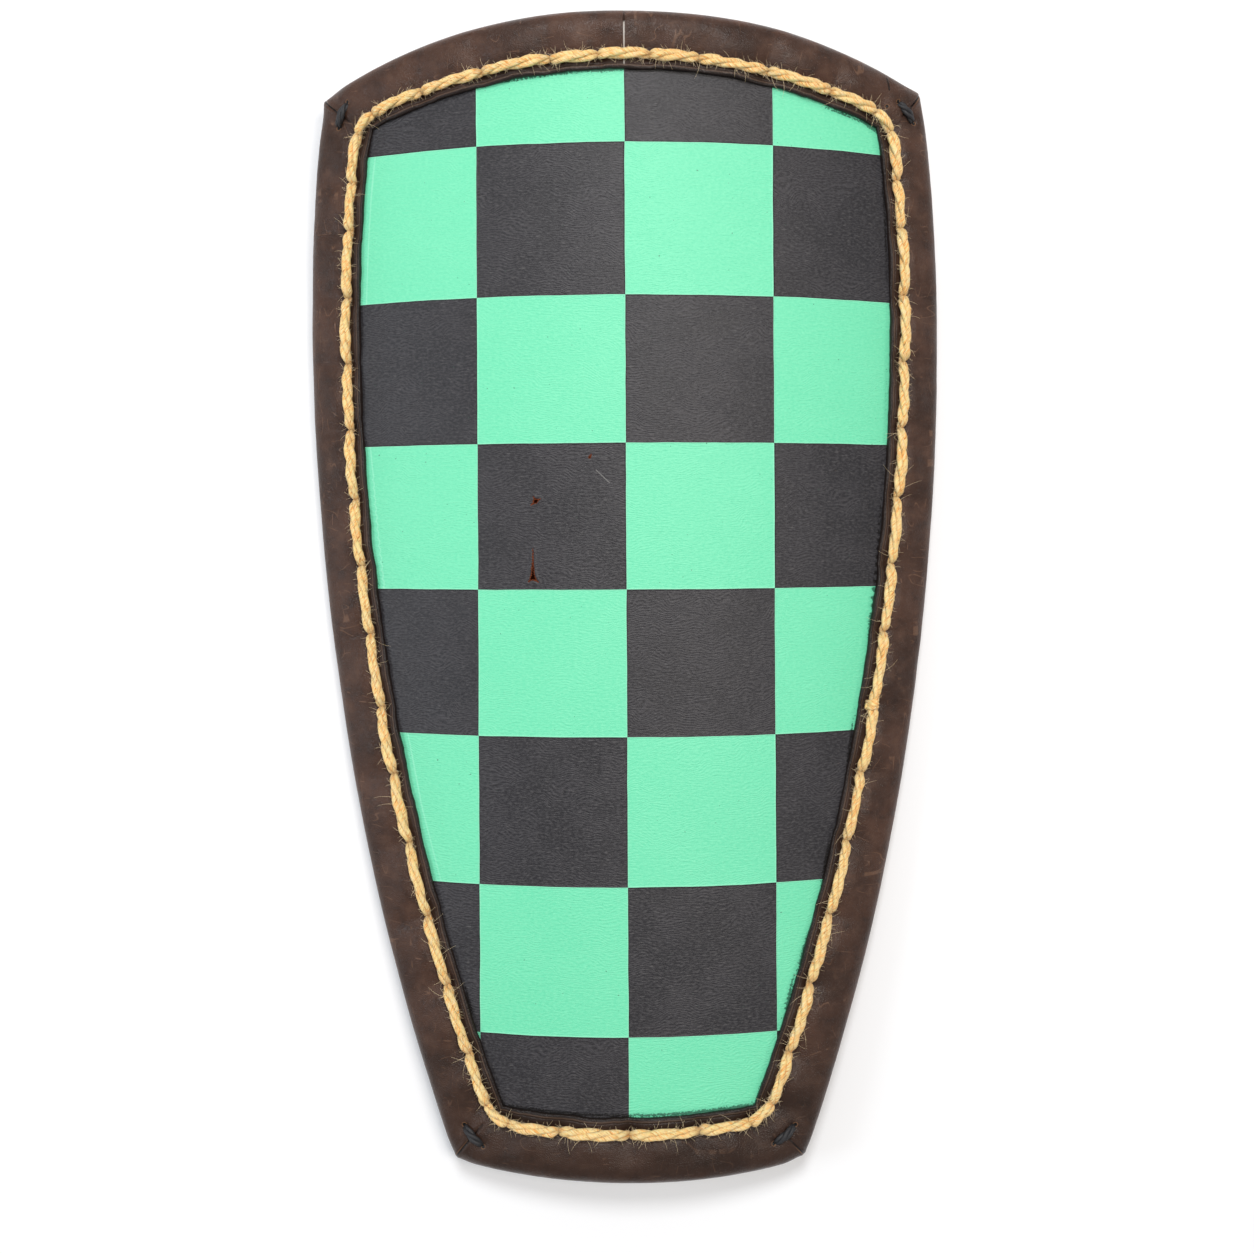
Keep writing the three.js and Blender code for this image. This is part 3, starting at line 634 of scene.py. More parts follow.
def edge_distance(flat, depths):
    """Each point's distance from the outline at these depths."""
    rim = join([inset(depths, k, np.linspace(0, 1, 120)) for k in range(4)])
    return np.min(norm(flat[:, None] - rim[None]), axis=1)


def make_canvas():
    """The canvas: a thin sheet."""
    columns = line_shares(81, *TORN_COLUMNS, 42)
    rows = line_shares(141, *TORN_ROWS, 120)
    flat = sheet_grid(columns, rows, even(BOARD_INSET)).reshape(-1, 2)
    torn, lips = tears(flat)
    front = -0.7 * torn + 0.35 * lips
    points = join([bend(flat, front), bend(flat, CANVAS_BACK)])
    rim_gap = join([edge_distance(part, FLAP) for part in np.array_split(flat, 12)])
    place = join([flat, np.zeros((len(flat), 1))], 1)
    piece = make_object(
        "painted_canvas",
        world(points),
        sheet_faces(len(columns), len(rows)),
        painted_canvas(),
        "front_canvas",
        {"flat": np.tile(place, (2, 1))},
        {"rim_gap": np.tile(rim_gap, 2)},
    )


def make_board():
    """The board: a thick sheet."""
    columns, rows = np.linspace(0, 1, 61), np.linspace(0, 1, 81)
    faces = sheet_faces(len(columns), len(rows))
    flat = sheet_grid(columns, rows, even(BOARD_INSET)).reshape(-1, 2)
    points = join([bend(flat, BOARD_FRONT), bend(flat, BOARD_BACK)])
    place = join([np.tile(flat, (2, 1)), np.repeat([[0], [1]], len(flat), 0)], 1)
    ply = wood("plywood", (176, 134, 88), (222, 188, 142), 0.35, 0.012, 0.62, 0.0002)
    piece = make_object("plywood_board", world(points), faces, ply, "board", {"flat": place})


# Corner threads

# In the order of CORNER_NAMES: how each thread leans in degrees, how far each fold runs in, and how far the
# folded leather moves each outer corner
CORNER_NAMES = ("top_left", "top_right", "bottom_right", "bottom_left")
THREAD_LEAN = (63, -45, 36, -45)
SEAM_REACH = (27, 25, 19, 30)
CORNER_SHIFT = np.array([(-2.6, -2.4), (0.2, 1.0), (0.2, 2.2), (0.6, 1.2)])
THREAD_INSET = 21.5
THREAD_LENGTH = 15
THREAD_PLIES = 3
PIN_HOLE = ((168, 302.5), 0.9)
LEATHER_NICK = ((167.5, 319.5), (168.6, 312.5))


def corner_fold(k):
    """The outer tip of corner k and the way in along its fold."""
    tip = mitre(even(0), k)
    return tip, unit(mitre(even(1), k) - tip)


def corner_seam(k):
    """The fold at corner k, from the outer tip in past the thread."""
    tip, seam = corner_fold(k)
    return tip + CORNER_SHIFT[k], tip + seam * SEAM_REACH[k]


def thread_ends(k, beyond=0.0):
    """The two holes of corner k's thread, either side of the leather's fold."""
    tip, seam = corner_fold(k)
    lean = math.radians(THREAD_LEAN[k])
    reach = (THREAD_LENGTH / 2 + beyond) * np.array([math.cos(lean), math.sin(lean)])
    centre = tip + seam * THREAD_INSET
    return centre - reach, centre + reach


# Leather rim

# The leather's front, from its cut inner edge over to the outer edge, as depths and heights. The depths count
# from the flap's cut edge, then from the cord line, then from the outer edge.
FRONT_FROM_CUT = ((0.0, 0.3), (0.1, 1.5), (0.0, 2.6), (-0.9, 3.15), (-2.3, 3.3), (-3.0, 3.05), (-3.8, 3.3))
FRONT_FROM_CORD = ((2.8, 3.0), (0.0, 2.5), (-3.2, 2.9), (-7.0, 4.2), (-11.0, 5.1))
FRONT_FROM_EDGE = ((14.0, 5.5), (9.8, 5.4), (6.2, 4.5), (3.2, 2.6), (1.1, -0.2), (0.15, -2.6))

# How far the edge stands out past the pattern, at five places along each side
EDGE_FIT = (
    (0.6, 1.6, 0.4, 1.0, -0.4),
    (-0.8, 0.0, 1.3, 2.7, 2.6),
    (2.6, 2.3, 1.9, 1.7, 1.6),
    (1.4, 1.1, 0.3, 0.7, 1.6),
)
# The section's last points line the slot that the board sits in
SLOT_POINTS = 4
# Stations from hole to hole, and at each corner
HOLE_STATIONS = 16
CORNER_STATIONS = 11
# The least room under the leather
SKIN_ROOM = 0.6
# How far the back is moved in the pattern of marks, so that it has its own
BACK_AWAY = 40


def rim_section(front_steps=3, back_steps=2):
    """The whole section: shares of the flap and cord depths, a length, and the height."""
    front = [(1, 0, *point) for point in FRONT_FROM_CUT] + [(0, 1, *point) for point in FRONT_FROM_CORD]
    front = np.array(front + [(0, 0, *point) for point in FRONT_FROM_EDGE])
    edge = np.array([[0, 0, 0, MIDDLE]])
    back = front[::-1].copy()
    back[:, 3] = 2 * MIDDLE - back[:, 3]
    skin = join([front, edge, back])
    padded = join([2 * skin[:1] - skin[1:2], skin, 2 * skin[-1:] - skin[-2:-1]])
    rows = []
    for i in range(len(skin) - 1):
        a, b, c, d = padded[i : i + 4]
        steps = front_steps if i < len(front) else back_steps
        for t in np.arange(steps) / steps:
            straight = 2 * b + (c - a) * t
            bent = (2 * a - 5 * b + 4 * c - d) * t**2 + (3 * b - a - 3 * c + d) * t**3
            rows.append(0.5 * (straight + bent))
    rows.append(skin[-1])
    slot_back, slot_front = 2 * MIDDLE - SLOT_FRONT, SLOT_FRONT
    rows += [(0.5, 0, 3.3, slot_back), (0, 0, SLOT_DEPTH, slot_back)]
    rows += [(0, 0, SLOT_DEPTH, slot_front), (0.5, 0, 3.3, slot_front)]
    return np.array(rows)


def rim_shares(k):
    """Stations along side k, closer at the holes, the mitres and the top seam."""
    holes = stitch_shares(k)
    steps = np.arange(HOLE_STATIONS) / HOLE_STATIONS
    eased = steps - 0.6 * np.sin(2 * math.pi * steps) / (2 * math.pi)
    shares = [a + (b - a) * eased for a, b in zip(holes[:-1], holes[1:])]
    corner = holes[0] * (np.arange(CORNER_STATIONS) / CORNER_STATIONS) ** 1.5
    shares += [corner, 1 - corner[1:], [holes[-1]]]
    if k == 0:
        steps = np.array([0, 0.25, 0.6, 1.1, 1.7, 2.6]) / SIDES[0].length
        shares += [0.5 - steps, 0.5 + steps]
    return np.unique(join(shares))


def nearest_hole(flat):
    """The nearest hole, how far off it is, and how far along and outwards of it."""
    offsets = flat[:, None] - HOLES[None]
    reach = norm(offsets)
    index = reach.argmin(1)
    offset = offsets[np.arange(len(flat)), index]
    ahead = unit(np.roll(HOLES, -1, 0) - np.roll(HOLES, 1, 0))[index]
    along = (offset * ahead).sum(1)
    outwards = offset[:, 1] * ahead[:, 0] - offset[:, 0] * ahead[:, 1]
    return index, reach.min(1), along, outwards


def outward_fit(k, shares, depth):
    """How far the padded edge stands out past the plain pattern."""
    return np.interp(shares, np.linspace(0, 1, 5), EDGE_FIT[k]) * np.clip(1.2 - abs(depth) / 22, 0, 1)


def corner_pull(k, shares, depth):
    """How far the folded leather moves the outer corners."""
    pull = 0
    for end, corner in ((0, k), (1, (k + 1) % 4)):
        gap = np.abs(shares - end) * SIDES[k].length
        pull = pull + spread(bell(gap, 8.0) * np.clip(1 - depth / 16, 0, 1), CORNER_SHIFT[corner])
    return pull


def towards_middle(flat):
    """The way in, roughly square to the nearest side."""
    target = np.stack([np.clip(flat[:, 0], -40, 40), np.clip(flat[:, 1], -190, 200)], 1) - flat
    return target / np.maximum(norm(target), 1e-6)[:, None]


def make_rim():
    """The padded leather round the edge."""
    section = rim_section()
    shares = [rim_shares(k) for k in range(4)]
    flats, measures = [], []
    started = 0.0
    for k in range(4):
        station = shares[k]
        length = run_along(inset(CORD_LINE, k, np.linspace(0, 1, 200)))[-1]
        column = []
        for flap, cord, more, _ in section:
            depth = tuple(flap * f + cord * c + more for f, c in zip(FLAP, CORD_LINE))
            points = inset(depth, k, station)
            points = points - SIDES[k].inwards(station) * outward_fit(k, station, depth[k])[:, None]
            column.append(points + corner_pull(k, station, depth[k]))
        flats.append(np.stack(column, 1))
        own = section[:, 0] * FLAP[k] + section[:, 1] * CORD_LINE[k] + section[:, 2]
        corner_gap = np.minimum(station, 1 - station) * SIDES[k].length
        centre_gap = np.abs(station - 0.5) * SIDES[k].length if k == 0 else np.full(len(station), FAR)
        across = np.stack([corner_gap, started + station * length, centre_gap])[:, :, None]
        measures.append(np.stack(np.broadcast_arrays(own, FLAP[k] - own, *across)).reshape(5, -1))
        started += length
    stations = sum(map(len, shares))
    flat = join(flats).reshape(-1, 2)
    depth, cut_gap, gap, run, top_seam = join(measures, axis=1)
    height = np.tile(section[:, 3], stations)
    flap_share = np.tile(section[:, 0], stations)
    outside = np.tile(np.arange(len(section)) < len(section) - SLOT_POINTS, stations)
    front = np.clip((height - MIDDLE) / 5, -1, 1) * outside

    # Pulled in at the holes, puffed up between them, with short creases that fan out from each
    index, reach, along, outwards = nearest_hole(flat)
    holes = len(HOLES)
    dimple = 2.1 * bell(reach, 6.0) + 1.8 * bell(reach, 2.3)
    beat = np.cos(math.pi * np.clip(along / 20, -1, 1))
    puff = -1.3 * beat * bell(outwards - 9, 7) - 0.4 * beat * bell(outwards + 5.5, 3)
    valley = between(0.1, 1.3, holes)[index] * bell(along + between(-2, 2, holes)[index], 5)
    puff = puff - valley * np.clip(outwards / 12, 0, 1) * np.clip((30 - outwards) / 10, 0, 1)
    bearing = np.arctan2(outwards, along)
    creases = 0
    for low, high in ((0.4, 1.2), (1.2, 1.9), (1.9, 2.7)):
        lean = bearing - between(low, high, holes)[index]
        strength = between(0.2, 1.0, holes)[index]
        sideways = np.abs(reach * np.sin(lean)) + 9 * (np.cos(lean) < 0)
        creases = creases + strength * bell(sideways, 0.9) * np.exp(-reach / 8) * (1 - bell(reach, 2))
    creases = creases * (1 - bell(gap, 9))

    # Slow swells, the folds at the corners, the seam at the top and the pull of the corner threads
    swell = 0.7 * ripple(flat, 42, 1.0) + 0.38 * ripple(flat, 13, 5.0) + 0.14 * ripple(flat, 4, 9.0)
    seam_gap = np.min([along_segment(flat, *corner_seam(k))[1] for k in range(4)], axis=0)
    mitre_seam = bell(seam_gap, 0.7) * np.clip(depth / 2 + 0.3, 0, 1)
    lips = bell(seam_gap - 1.7, 0.8)
    centre_seam = bell(top_seam, 0.4) * np.clip((11 - depth) / 2, 0, 1)
    pricks, pulled = 0, 0
    for k in range(4):
        start, end = thread_ends(k)
        _, aside = along_segment(flat, start, end)
        pulled = pulled + bell(aside, 3.5)
        for tip in (start, end):
            pricks = pricks + bell(norm(flat - tip), 1.5)

    # The height, kept clear of the canvas and the board
    raised = puff - dimple - 1.3 * creases + swell - 1.2 * mitre_seam + 0.35 * lips - 1.0 * centre_seam
    raised = raised - 0.8 * pulled - 1.5 * pricks
    soft = np.clip(depth / 6, 0.25, 1)
    height = height + front * raised * soft
    covering = (depth > BOARD_INSET - 1) & outside
    height = np.where(covering & (front > 0), np.maximum(height, SKIN_ROOM), height)
    height = np.where(covering & (front < 0), np.minimum(height, 2 * MIDDLE - SKIN_ROOM), height)

    # The hand-cut waves of the inner edge, and slower ones along the outer edge
    course = np.stack([run, 0 * run], 1)
    wave = ripple(course, 19, 2.0) + 0.45 * ripple(course, 5, 4.0)
    outer_wave = 0.5 * ripple(course, 55, 7.0) * np.clip(1 - depth / 8, 0, 1)
    inwards = towards_middle(flat)
    flat = flat + inwards * (flap_share * outside * wave)[:, None] + inwards * (outer_wave * outside)[:, None]

    # Painted shade for the leather: in the creases, the top seam's groove, round the cord holes and at the
    # thread pricks
    crease_shade = 0.8 * creases + 0.9 * centre_seam + 0.6 * bell(reach, 2.4) + 1.2 * pricks
    crease_shade = np.clip(crease_shade, 0, 1)
    chalk = bell(top_seam, 0.35) * (depth > 9) * np.clip((35 - depth) / 2, 0, 1) * (front > 0)
    behind = (height < MIDDLE)[:, None]
    points = world(bend(flat, height))
    points[:, 2] = np.maximum(points[:, 2], 0)
    piece = make_object(
        "leather_rim_skin",
        points,
        loop_faces(stations, len(section)),
        leather(),
        "leather_rim",
        {"flat": join([flat, BACK_AWAY * behind], 1), "run": np.stack([run, depth, height], 1)},
        {"crease_shade": crease_shade, "chalk": 0.8 * chalk, "cut_gap": np.where(outside, cut_gap, 20)},
    )


# Jute cord

KNOT_PLACE = (159, -71.4)
STRANDS = 3
FIBRE_SLANT = 0.85
RIDGES = 5
RIDGE_HEIGHT = 0.12
RIDGE_TWIST = 0.7

# A stitch: its radius in a hole, in front and behind, its strands' offset and radius as shares of that, the
# length of a turn of its twist, its height over the leather and its depth in a hole
PINCHED_RADIUS = 1.45
FRONT_RADIUS = (3.1, 3.5)
BACK_RADIUS = 2.6
STRAND_OFFSET = 0.52
STRAND_RADIUS = 0.51
TURN_LENGTH = (27, 38)
STITCH_CREST = 3.0
STITCH_ROOT = 2.4

# Loose fibres on a stitch: how many, and their short, middling and long lengths with their odds
LOOSE_FIBRES = 37
LOOSE_LENGTHS = ((1.2, 3.5), (3, 6), (6, 12))
LOOSE_ODDS = (0.62, 0.31, 0.07)

# For the front, 1, and the back, -1: the leather's height under a stitch, and a strand's sections and sides
LEATHER_HEIGHT = {1: 2.5, -1: -11.6}
STRAND_SECTIONS = {1: 30, -1: 14}
STRAND_SIDES = {1: 14, -1: 6}
# The back's stitches are numbered from here
BACK_NUMBERS = 60


def stitch_path(start, end, root, crest, count):
    """A stitch's middle line: flat points, heights and how far each has risen."""
    turn = np.linspace(0, math.pi, count)
    share = (1 - np.cos(turn)) / 2
    rise = np.sin(turn) ** 0.5
    flat = start + spread(0.006 + 0.988 * share, end - start)
    return flat, root + (crest - root) * rise, rise


def sweep(centre, radius, sides, ridges, phase):
    """A tube along points in space: its sections, the angle of each point, and its run."""
    ahead = unit(np.gradient(centre, axis=0))
    lift = np.array([0.0, 0.0, 1.0]) + 0 * centre
    out = np.cross(ahead, lift)
    out /= np.maximum(norm(out), 1e-9)[:, None]
    lift = np.cross(out, ahead)
    angle = np.linspace(0, 2 * math.pi, sides, endpoint=False)[None, :] + 0 * radius[:, None]
    run = run_along(centre)
    reach = radius[:, None] * (1 + ridges * np.cos(RIDGES * (angle + phase) + RIDGE_TWIST * run[:, None]))
    points = centre[:, None] + (reach * np.cos(angle))[..., None] * out[:, None]
    return points + (reach * np.sin(angle))[..., None] * lift[:, None], angle, run


class Bundle:
    """Many closed tubes gathered into one mesh."""

    def __init__(self):
        self.tubes, self.faces = [], []
        self.count = 0

    def add(self, centre, radius, sides, seed, hole_shade=None, ridges=0.0, phase=0.0, loose=0.0):
        """One more tube, with fibres of its own by its seed."""
        sections, angle, run = sweep(centre, radius, sides, ridges, phase)
        stations = len(centre)
        around = angle * radius.mean() + seed * 17.0 + FIBRE_SLANT * run[:, None]
        fibre = np.stack([run[:, None] + 0 * angle + seed * 31.0, around, 0 * angle + seed], -1)
        marks = [np.zeros(stations) if hole_shade is None else hole_shade, np.full(stations, loose)]
        marks = [np.repeat(mark, sides) for mark in marks]
        self.tubes.append((sections.reshape(-1, 3), fibre.reshape(-1, 3), *marks))
        self.faces += (loop_faces(stations, sides, closed=False) + self.count).tolist()
        first, last = self.count, self.count + (stations - 1) * sides
        self.faces += [list(range(first, first + sides))[::-1], list(range(last, last + sides))]
        self.count += stations * sides

    def build(self, name, material, node):
        """The mesh of all the tubes, bent with the shield."""
        points, fibre, hole_shade, loose = map(join, zip(*self.tubes))
        points = world(bend(points[:, :2], points[:, 2]))
        values = {"hole_shade": hole_shade, "loose": loose}
        return make_object(name, points, self.faces, material, node, {"fibre": fibre}, values)


def add_stitch(bundle, start, end, face, number):
    """One stitch of twisted strands, pinched into its holes."""
    count = STRAND_SECTIONS[face]
    crest = LEATHER_HEIGHT[face] + face * (STITCH_CREST + 0.35 * between(-1, 1))
    root = LEATHER_HEIGHT[face] - face * STITCH_ROOT
    flat, height, rise = stitch_path(start, end, root, crest, count)
    full = between(*FRONT_RADIUS) if face > 0 else BACK_RADIUS
    body = PINCHED_RADIUS + (full - PINCHED_RADIUS) * np.clip(1.25 * rise, 0, 1) ** 1.6
    body = body * (1 + 0.07 * np.sin(np.linspace(0, 9, count) + number))
    along = norm(end - start)
    across = np.array([end[1] - start[1], start[0] - end[0]]) / along
    bow = 0.5 * between(-1, 1) * np.sin(np.linspace(0, math.pi, count))
    flat = flat + spread(bow, across)
    first = between(0, 2 * math.pi)
    turn = between(*TURN_LENGTH)
    run = np.linspace(0, along, count)
    for strand in range(STRANDS):
        angle = first + 2 * math.pi * (strand / STRANDS + run / turn)
        offset = STRAND_OFFSET * body
        course = np.stack([run + 90 * number, 40 * strand + 0 * run], 1)
        aside = offset * np.cos(angle) + 0.5 * rise * ripple(course, 7, 1.0)
        lift = height + 0.9 * offset * np.sin(angle)
        centre = join([flat + spread(aside, across), lift[:, None]], 1)
        radius = body * STRAND_RADIUS * (1 + 0.2 * ripple(course, 4, 8.0))
        # Painted shade where the strand goes down into its hole
        hole_shade = np.clip(1.2 - rise * 1.4, 0, 1)
        seed = number * 0.37 + strand
        bundle.add(centre, radius, STRAND_SIDES[face], seed, hole_shade, RIDGE_HEIGHT, first + strand)
    return flat, height, body, across


def add_fuzz(bundle, flat, height, body, across, number):
    """Loose fibre ends that stand out of a stitch."""
    middle = unit(flat[-1] - flat[0])
    t = np.linspace(0, 1, 5)
    for _ in range(LOOSE_FIBRES):
        i = random.integers(3, len(flat) - 3)
        side = random.choice([-1, 1])
        tilt_up = between(-0.15, 0.9)
        length = random.choice([between(*lengths) for lengths in LOOSE_LENGTHS], p=LOOSE_ODDS)
        lean = between(-1.0, 1.0)
        curl = between(-1.0, 1.0)
        start = np.append(flat[i] + across * side * body[i] * 0.8, height[i] + tilt_up * body[i] * 0.6)
        ahead = np.append(across * side * math.cos(lean) + middle * math.sin(lean), 0.35 * tilt_up)
        sway = np.append(middle * math.cos(lean) - across * side * math.sin(lean), 0)
        centre = start + spread(t * length, ahead) + spread(t**2 * length * 0.4 * curl, sway)
        centre[:, 2] = np.maximum(centre[:, 2] - 1.2 * t**2, 3.4)
        bundle.add(centre, 0.1 - 0.055 * t, 3, number * 0.11, loose=1.0)


def add_knot(bundle):
    """A lumpy little knot over one hole."""
    hole = HOLES[norm(HOLES - KNOT_PLACE).argmin()]
    turn = np.linspace(-1, 1, 22)
    for strand, (lean, lift) in enumerate(((2.6, 0.0), (0.5, 1.0), (-2.0, 0.4))):
        side = spread(3.3 * turn - 0.7, (1.0, -0.25)) + spread(lean + 1.3 * turn, (0.1, 0.8))
        height = 2.4 + (4.0 + lift) * np.sqrt(np.clip(1 - turn**2, 0, 1))
        centre = join([hole + side, height[:, None]], 1)
        radius = 1.35 + 0.25 * np.cos(4 * turn + strand)
        # The knot's strand ends get painted shade where they go down into the hole
        bundle.add(centre, radius, STRAND_SIDES[1], 50 + strand, 0.8 * turn**4, RIDGE_HEIGHT, strand)
    round_loop = np.linspace(-0.6, 1.3 * math.pi, 22)
    place = hole + (-2.9, -0.9) + np.stack([1.7 * np.cos(round_loop), 1.9 * np.sin(round_loop)], 1)
    height = 4.6 + 0.9 * np.cos(round_loop)
    centre = join([place, height[:, None]], 1)
    bundle.add(centre, 1.0 + 0.15 * np.cos(2 * round_loop), 10, 57, None, RIDGE_HEIGHT)


def make_cord():
    """All the stitches, front and back, with the knot."""
    bundle = Bundle()
    add_knot(bundle)
    for number, (start, end) in enumerate(zip(HOLES, np.roll(HOLES, -1, 0))):
        body = add_stitch(bundle, start, end, 1, number)
        add_fuzz(bundle, *body, number)
        add_stitch(bundle, start, end, -1, number + BACK_NUMBERS)
    bundle.build("jute_stitching", jute(), "jute_cord")


def make_corner_thread(k, material):
    """One spindle-shaped stitch of twisted thread over the fold."""
    start, end = thread_ends(k)
    ahead = (end - start) / THREAD_LENGTH
    across = np.array([ahead[1], -ahead[0]])
    bundle = Bundle()
    turn = np.linspace(0, math.pi, 34)
    share = (1 - np.cos(turn)) / 2
    rise = np.sin(turn) ** 0.6
    body = 0.45 + 0.95 * rise**1.2
    for ply in range(THREAD_PLIES):
        angle = 2 * math.pi * (share * 0.7 + ply / THREAD_PLIES)
        place = start + spread(share, end - start) + spread(body * np.cos(angle), across)
        lift = 1.2 + 5.0 * rise + 0.7 * body * np.sin(angle)
        bundle.add(join([place, lift[:, None]], 1), body, 12, k + ply * 0.5, None, 0.06, ply)
    name = CORNER_NAMES[k]
    bundle.build(f"thread_{name}", material, f"corner_stitch_{name}")


# Grip and screws

GRIP_Y = 20
GRIP_LENGTH = 165
GRIP_DEPTH = 28
FINGER_WIDTH = 105
FINGER_ROOM = 30
BAR_THICKNESS = 18
LEG_THICKNESS = 12
FOOT_THICKNESS = 9
GRIP_EASE = 10
GRIP_SHOULDER = 16
FOOT_FRONT = BOARD_BACK - 0.3
FOOT_BACK = FOOT_FRONT - FOOT_THICKNESS
SCREW_S = (GRIP_LENGTH / 2 + FINGER_WIDTH / 2 + LEG_THICKNESS) / 2
SCREW_SPACING = 14
SCREW_HEAD_RADIUS = 4
SCREW_HEAD_HEIGHT = 2.6
SCREW_SIDES = 32
SHANK_RADIUS = 2
SHANK_END = BOARD_BACK + 3
DRIVE_SLOT_HALF = 0.5
DRIVE_SLOT_FLOOR = 1.1


def curve_between(start, control, end, steps=8):
    """A curve from start to end that leans towards its control point."""
    t = np.linspace(0, 1, steps)[:, None]
    return (1 - t) ** 2 * np.array(start) + 2 * t * (1 - t) * np.array(control) + t**2 * np.array(end)


def grip_outline():
    """The handle's outline across the shield, as x and z."""
    bar_front = BOARD_BACK - FINGER_ROOM
    bar_back = bar_front - BAR_THICKNESS
    half = FINGER_WIDTH / 2
    leg = half + LEG_THICKNESS
    ends = np.array([(GRIP_LENGTH / 2, 0), (GRIP_LENGTH / 2, 0), (half, 0), (leg + GRIP_EASE / 2, 0)])
    heights = np.array([FOOT_FRONT, FOOT_BACK, FOOT_FRONT, FOOT_BACK])
    outer_top, outer_foot, inner_top, heel = bend(ends, heights)[:, [0, 2]]
    right = [
        curve_between((half - GRIP_EASE, bar_front), (half, bar_front), (half, bar_front + GRIP_EASE)),
        [inner_top, outer_top, outer_foot],
        curve_between(heel, (leg, heel[1]), (leg, heel[1] - GRIP_EASE / 2), 5),
        curve_between((leg, bar_back + GRIP_SHOULDER), (leg, bar_back), (leg - GRIP_SHOULDER, bar_back), 10),
    ]
    right = join(right)
    left = right[::-1] * (-1, 1)
    return join([right, left])


def make_grip():
    """The handle: its outline made solid, with well rounded edges."""
    outline = grip_outline()
    low, high = GRIP_Y - GRIP_DEPTH / 2, GRIP_Y + GRIP_DEPTH / 2
    count = len(outline)
    points = join([np.insert(outline, 1, y, axis=1) for y in (low, high)])
    faces = [list(range(count))[::-1], list(range(count, 2 * count))]
    faces += [[i, (i + 1) % count, count + (i + 1) % count, count + i] for i in range(count)]
    ash = wood("ash", (150, 104, 62), (204, 158, 108), 0.02, 0.5, 0.5, 0.00015)
    piece = make_object("wooden_grip", world(points), faces, ash, "grip", {"flat": points})
    bevel = piece.modifiers.new("rounded edges", "BEVEL")
    bevel.width = 0.0045
    bevel.segments = 5
    bevel.limit_method = "ANGLE"
    bevel.angle_limit = math.radians(50)
    bevel.harden_normals = True


def make_screw(number, s, y, material):
    """A round-headed screw with a straight slot."""
    angles = np.linspace(0, 2 * math.pi, SCREW_SIDES, endpoint=False)
    rings = np.array([0.12, 0.3, 0.5, 0.68, 0.82, 0.93, 1.0, 1.0])
    radius = rings[:, None] * SCREW_HEAD_RADIUS + 0 * angles
    east, north = radius * np.cos(angles), radius * np.sin(angles)
    dome = SCREW_HEAD_HEIGHT * np.sqrt(np.clip(1 - (0.8 * rings) ** 2, 0, 1))[:, None] + 0 * angles
    dome[-1] = 0
    turned = east * math.cos(number) + north * math.sin(number)
    dome = np.where(np.abs(turned) < DRIVE_SLOT_HALF, np.minimum(dome, DRIVE_SLOT_FLOOR), dome)
    seat = FOOT_BACK - 0.3
    flat = np.stack([s + east, y + north], -1).reshape(-1, 2)
    shank = np.stack([s + SHANK_RADIUS * np.cos(angles), y + SHANK_RADIUS * np.sin(angles)], -1)
    heights = join([(seat - dome).ravel(), np.repeat([seat, SHANK_END], SCREW_SIDES)])
    flat = join([flat, shank, shank])
    last = len(flat) - SCREW_SIDES
    faces = loop_faces(len(rings) + 2, SCREW_SIDES, closed=False).tolist()
    faces += [list(range(SCREW_SIDES)), list(range(last, len(flat)))[::-1]]
    faces = [face[::-1] for face in faces]
    points = world(bend(flat, heights))
    vectors = {"flat": join([flat, heights[:, None]], 1)}
    piece = make_object(f"screw_{number}", points, faces, material, f"grip_screw_{number}", vectors)


# Room, light and camera

# The camera over the face, in the shield's own frame
CAMERA_PLACE = (0, 40.8, 895)
CAMERA_ROLL = -0.00475
CAMERA_LENS = 42.83
CAMERA_SHIFT = (0.0006, -0.0793)

# White light from all round, then round lamps: name, place in metres, width, watts and tint
SURROUND = 0.345
LAMPS = (
    ("key", (-0.1, 1.2, 2.1), 0.65, 25, (1, 1, 1)),
    ("warm", (0.72, 0.2, 2.2), 0.7, 19.5, (1.0, 0.92, 0.84)),
    ("cool", (-1.85, -0.1, 1.3), 0.8, 11, (0.86, 0.93, 1.0)),
)


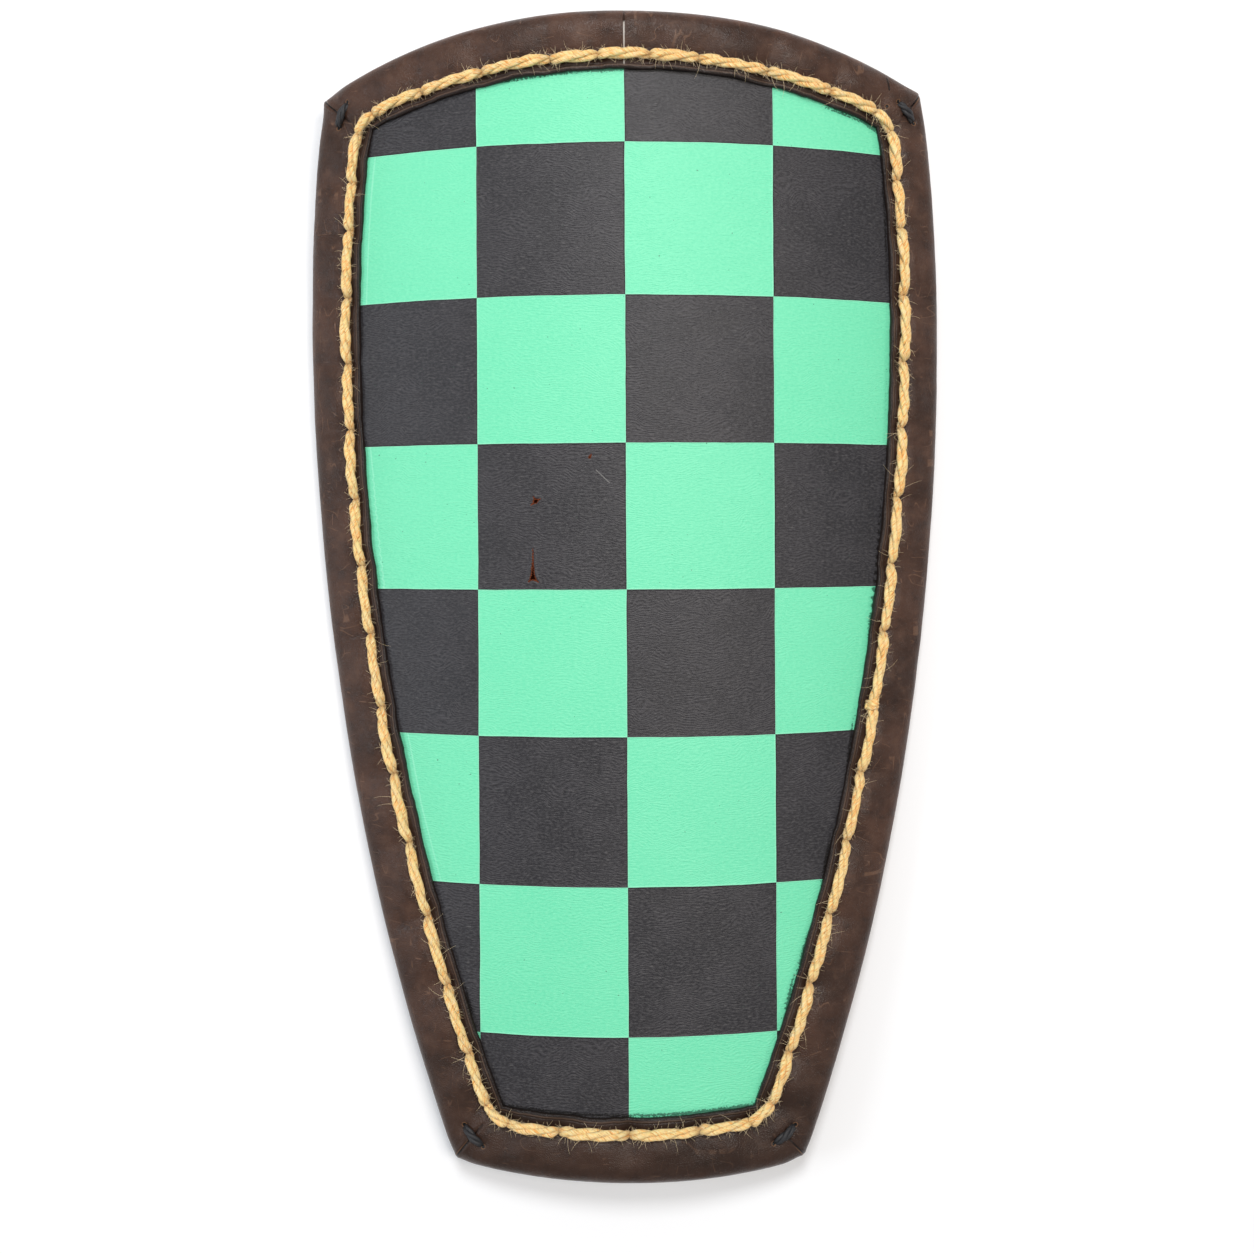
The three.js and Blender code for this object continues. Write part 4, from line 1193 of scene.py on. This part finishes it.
def make_floor():
    """A wide, pale floor."""
    m = Shader("floor")
    grain = m.noise(m.node("TexCoord").outputs["Object"], 3.0, 3.0)
    tone = m.mix(grain, (0.94, 0.955, 0.98, 1), (0.955, 0.97, 0.99, 1))
    m.finish(tone, 0.9, Specular_IOR_Level=0.1, Emission_Strength=0.05)
    reach = 4.0
    corners = [(-reach, -reach, 0), (reach, -reach, 0), (reach, reach, 0), (-reach, reach, 0)]
    make_object("floor", corners, [(0, 1, 2, 3)], m.material)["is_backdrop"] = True


def add_light(name, place, size, watts, tint):
    """A round lamp that points at the middle of the floor."""
    data = bpy.data.lights.new(name, "AREA")
    data.shape = "DISK"
    data.size = size
    data.energy = watts
    data.color = tint
    lamp = put_in_scene(name, data)
    lamp.location = place
    lamp.rotation_mode = "QUATERNION"
    lamp.rotation_quaternion = (-Vector(place)).to_track_quat("-Z", "Y")


def make_light():
    """The light from all round and the lamps."""
    scene = bpy.context.scene
    scene.world = bpy.data.worlds.new("studio")
    scene.world.use_nodes = True
    sky = scene.world.node_tree.nodes["Background"]
    sky.inputs[0].default_value = (1, 1, 1, 1)
    sky.inputs[1].default_value = SURROUND
    for lamp in LAMPS:
        add_light(*lamp)
    scene.view_settings.view_transform = "Standard"


def make_camera():
    """The camera, square over the tilted face."""
    data = bpy.data.cameras.new("camera")
    data.sensor_width = 36
    data.lens = CAMERA_LENS
    data.shift_x, data.shift_y = CAMERA_SHIFT
    data.clip_start, data.clip_end = 0.05, 20
    camera = put_in_scene("camera", data)
    place = Vector(world(np.array([CAMERA_PLACE], float))[0])
    turn = Matrix.Rotation(REST_TILT, 4, "X") @ Matrix.Rotation(CAMERA_ROLL, 4, "Z")
    camera.matrix_world = Matrix.Translation(place) @ turn
    bpy.context.scene.camera = camera


make_camera()
make_light()
make_floor()
make_canvas()
make_board()
make_rim()
make_cord()
thread_material = black_thread()
for corner in range(4):
    make_corner_thread(corner, thread_material)
make_grip()
steel = screw_steel()
screw_places = [(side * SCREW_S, GRIP_Y + end * SCREW_SPACING / 2) for side in (-1, 1) for end in (-1, 1)]
for number, (s, y) in enumerate(screw_places, 1):
    make_screw(number, s, y, steel)

plain = lambda box: [list(corner) for corner in box]
{"cad": plain(cad_bounds), "visual": plain(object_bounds())}
